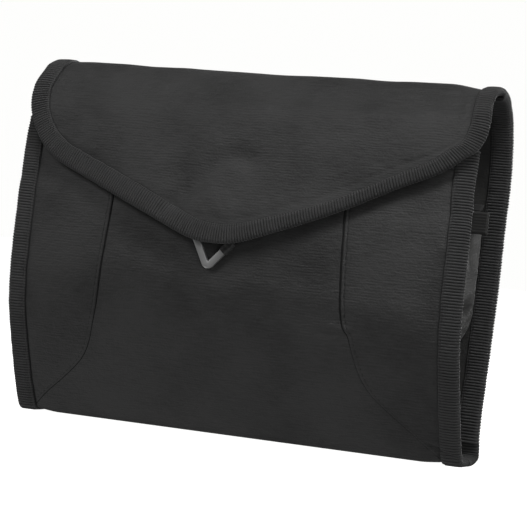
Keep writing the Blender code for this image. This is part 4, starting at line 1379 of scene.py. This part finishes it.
def lights():
    area_light("left_key", -32, 36, 6.2)
    area_light("right_key", 45, 60, 8.2, size=0.4)
    area_light("right_side", 75, 40, 6.4)
    area_light("right_front", 42, 5, 4.8)
    area_light("left_side", -75, 5, 1.2)
    area_light("left_bounce", -60, -45, 4.2)
    area_light("right_bounce", 110, -62, 3.4)
    area_light("behind", 175, 12, 12.0)


def world():
    """White where the camera looks past the bag, and a softer grey as the light that reaches it."""
    made = bpy.data.worlds.new("studio")
    bpy.context.scene.world = made
    made.use_nodes = True
    tree = made.node_tree
    tree.nodes.clear()
    seen, lighting = tree.nodes.new("ShaderNodeBackground"), tree.nodes.new("ShaderNodeBackground")
    seen.inputs["Color"].default_value = (0.99, 0.99, 0.98, 1)
    lighting.inputs["Color"].default_value = (1, 1, 1, 1)
    lighting.inputs["Strength"].default_value = 0.05
    rays = tree.nodes.new("ShaderNodeLightPath")
    mix = tree.nodes.new("ShaderNodeMixShader")
    out = tree.nodes.new("ShaderNodeOutputWorld")
    tree.links.new(rays.outputs["Is Camera Ray"], mix.inputs[0])
    tree.links.new(lighting.outputs[0], mix.inputs[1])
    tree.links.new(seen.outputs[0], mix.inputs[2])
    tree.links.new(mix.outputs[0], out.inputs[0])


def camera():
    """About 1.3 m away, round to the bag's right-hand side, nearly level and a little rolled."""
    location = Vector((0.5048, -1.1743, 0.1015))
    yaw_degrees, pitch_degrees, roll_degrees = 22.81, 0.16, 5.84
    back = bearing(yaw_degrees, pitch_degrees)
    yaw, roll = math.radians(yaw_degrees), math.radians(roll_degrees)
    level = Vector((math.cos(yaw), math.sin(yaw), 0))
    upright = back.cross(level)
    right = math.cos(roll) * level + math.sin(roll) * upright
    up = -math.sin(roll) * level + math.cos(roll) * upright
    data = bpy.data.cameras.new("camera")
    data.lens = 157.07
    data.sensor_width = 36
    data.clip_start = 0.05
    data.clip_end = 100
    made = bpy.data.objects.new("camera", data)
    turned = Matrix((right, up, back)).transposed()
    made.matrix_world = Matrix.Translation(location) @ turned.to_4x4()
    bpy.context.scene.collection.objects.link(made)
    bpy.context.scene.camera = made


def main():
    pocket()
    flap()
    back()
    base()
    front()
    all_edges()
    slip_pocket()
    patch("hooks", "flap", THIN_STACK + 0.0003, 1, "flap", "closure_hook_patch")
    patch("loops", "front", -0.0008, -1, "front", "closure_loop_patch")
    ring()
    webbing()
    webbing_wrap()
    zip_cloth("zip_tape_front", "zip_tape_lower", "binding_tape")
    zip_cloth("zip_tape_rear", "zip_tape_upper", "binding_tape")
    zip_cloth("zip_header", "pocket_header", "pocket_nylon")
    zip_coil("coil_lower", "zip_teeth_lower")
    zip_coil("coil_upper", "zip_teeth_upper")
    zip_tabs()
    cad_finishes()
    floor()
    lights()
    world()
    camera()
    bpy.context.scene.view_settings.view_transform = "Standard"


main()
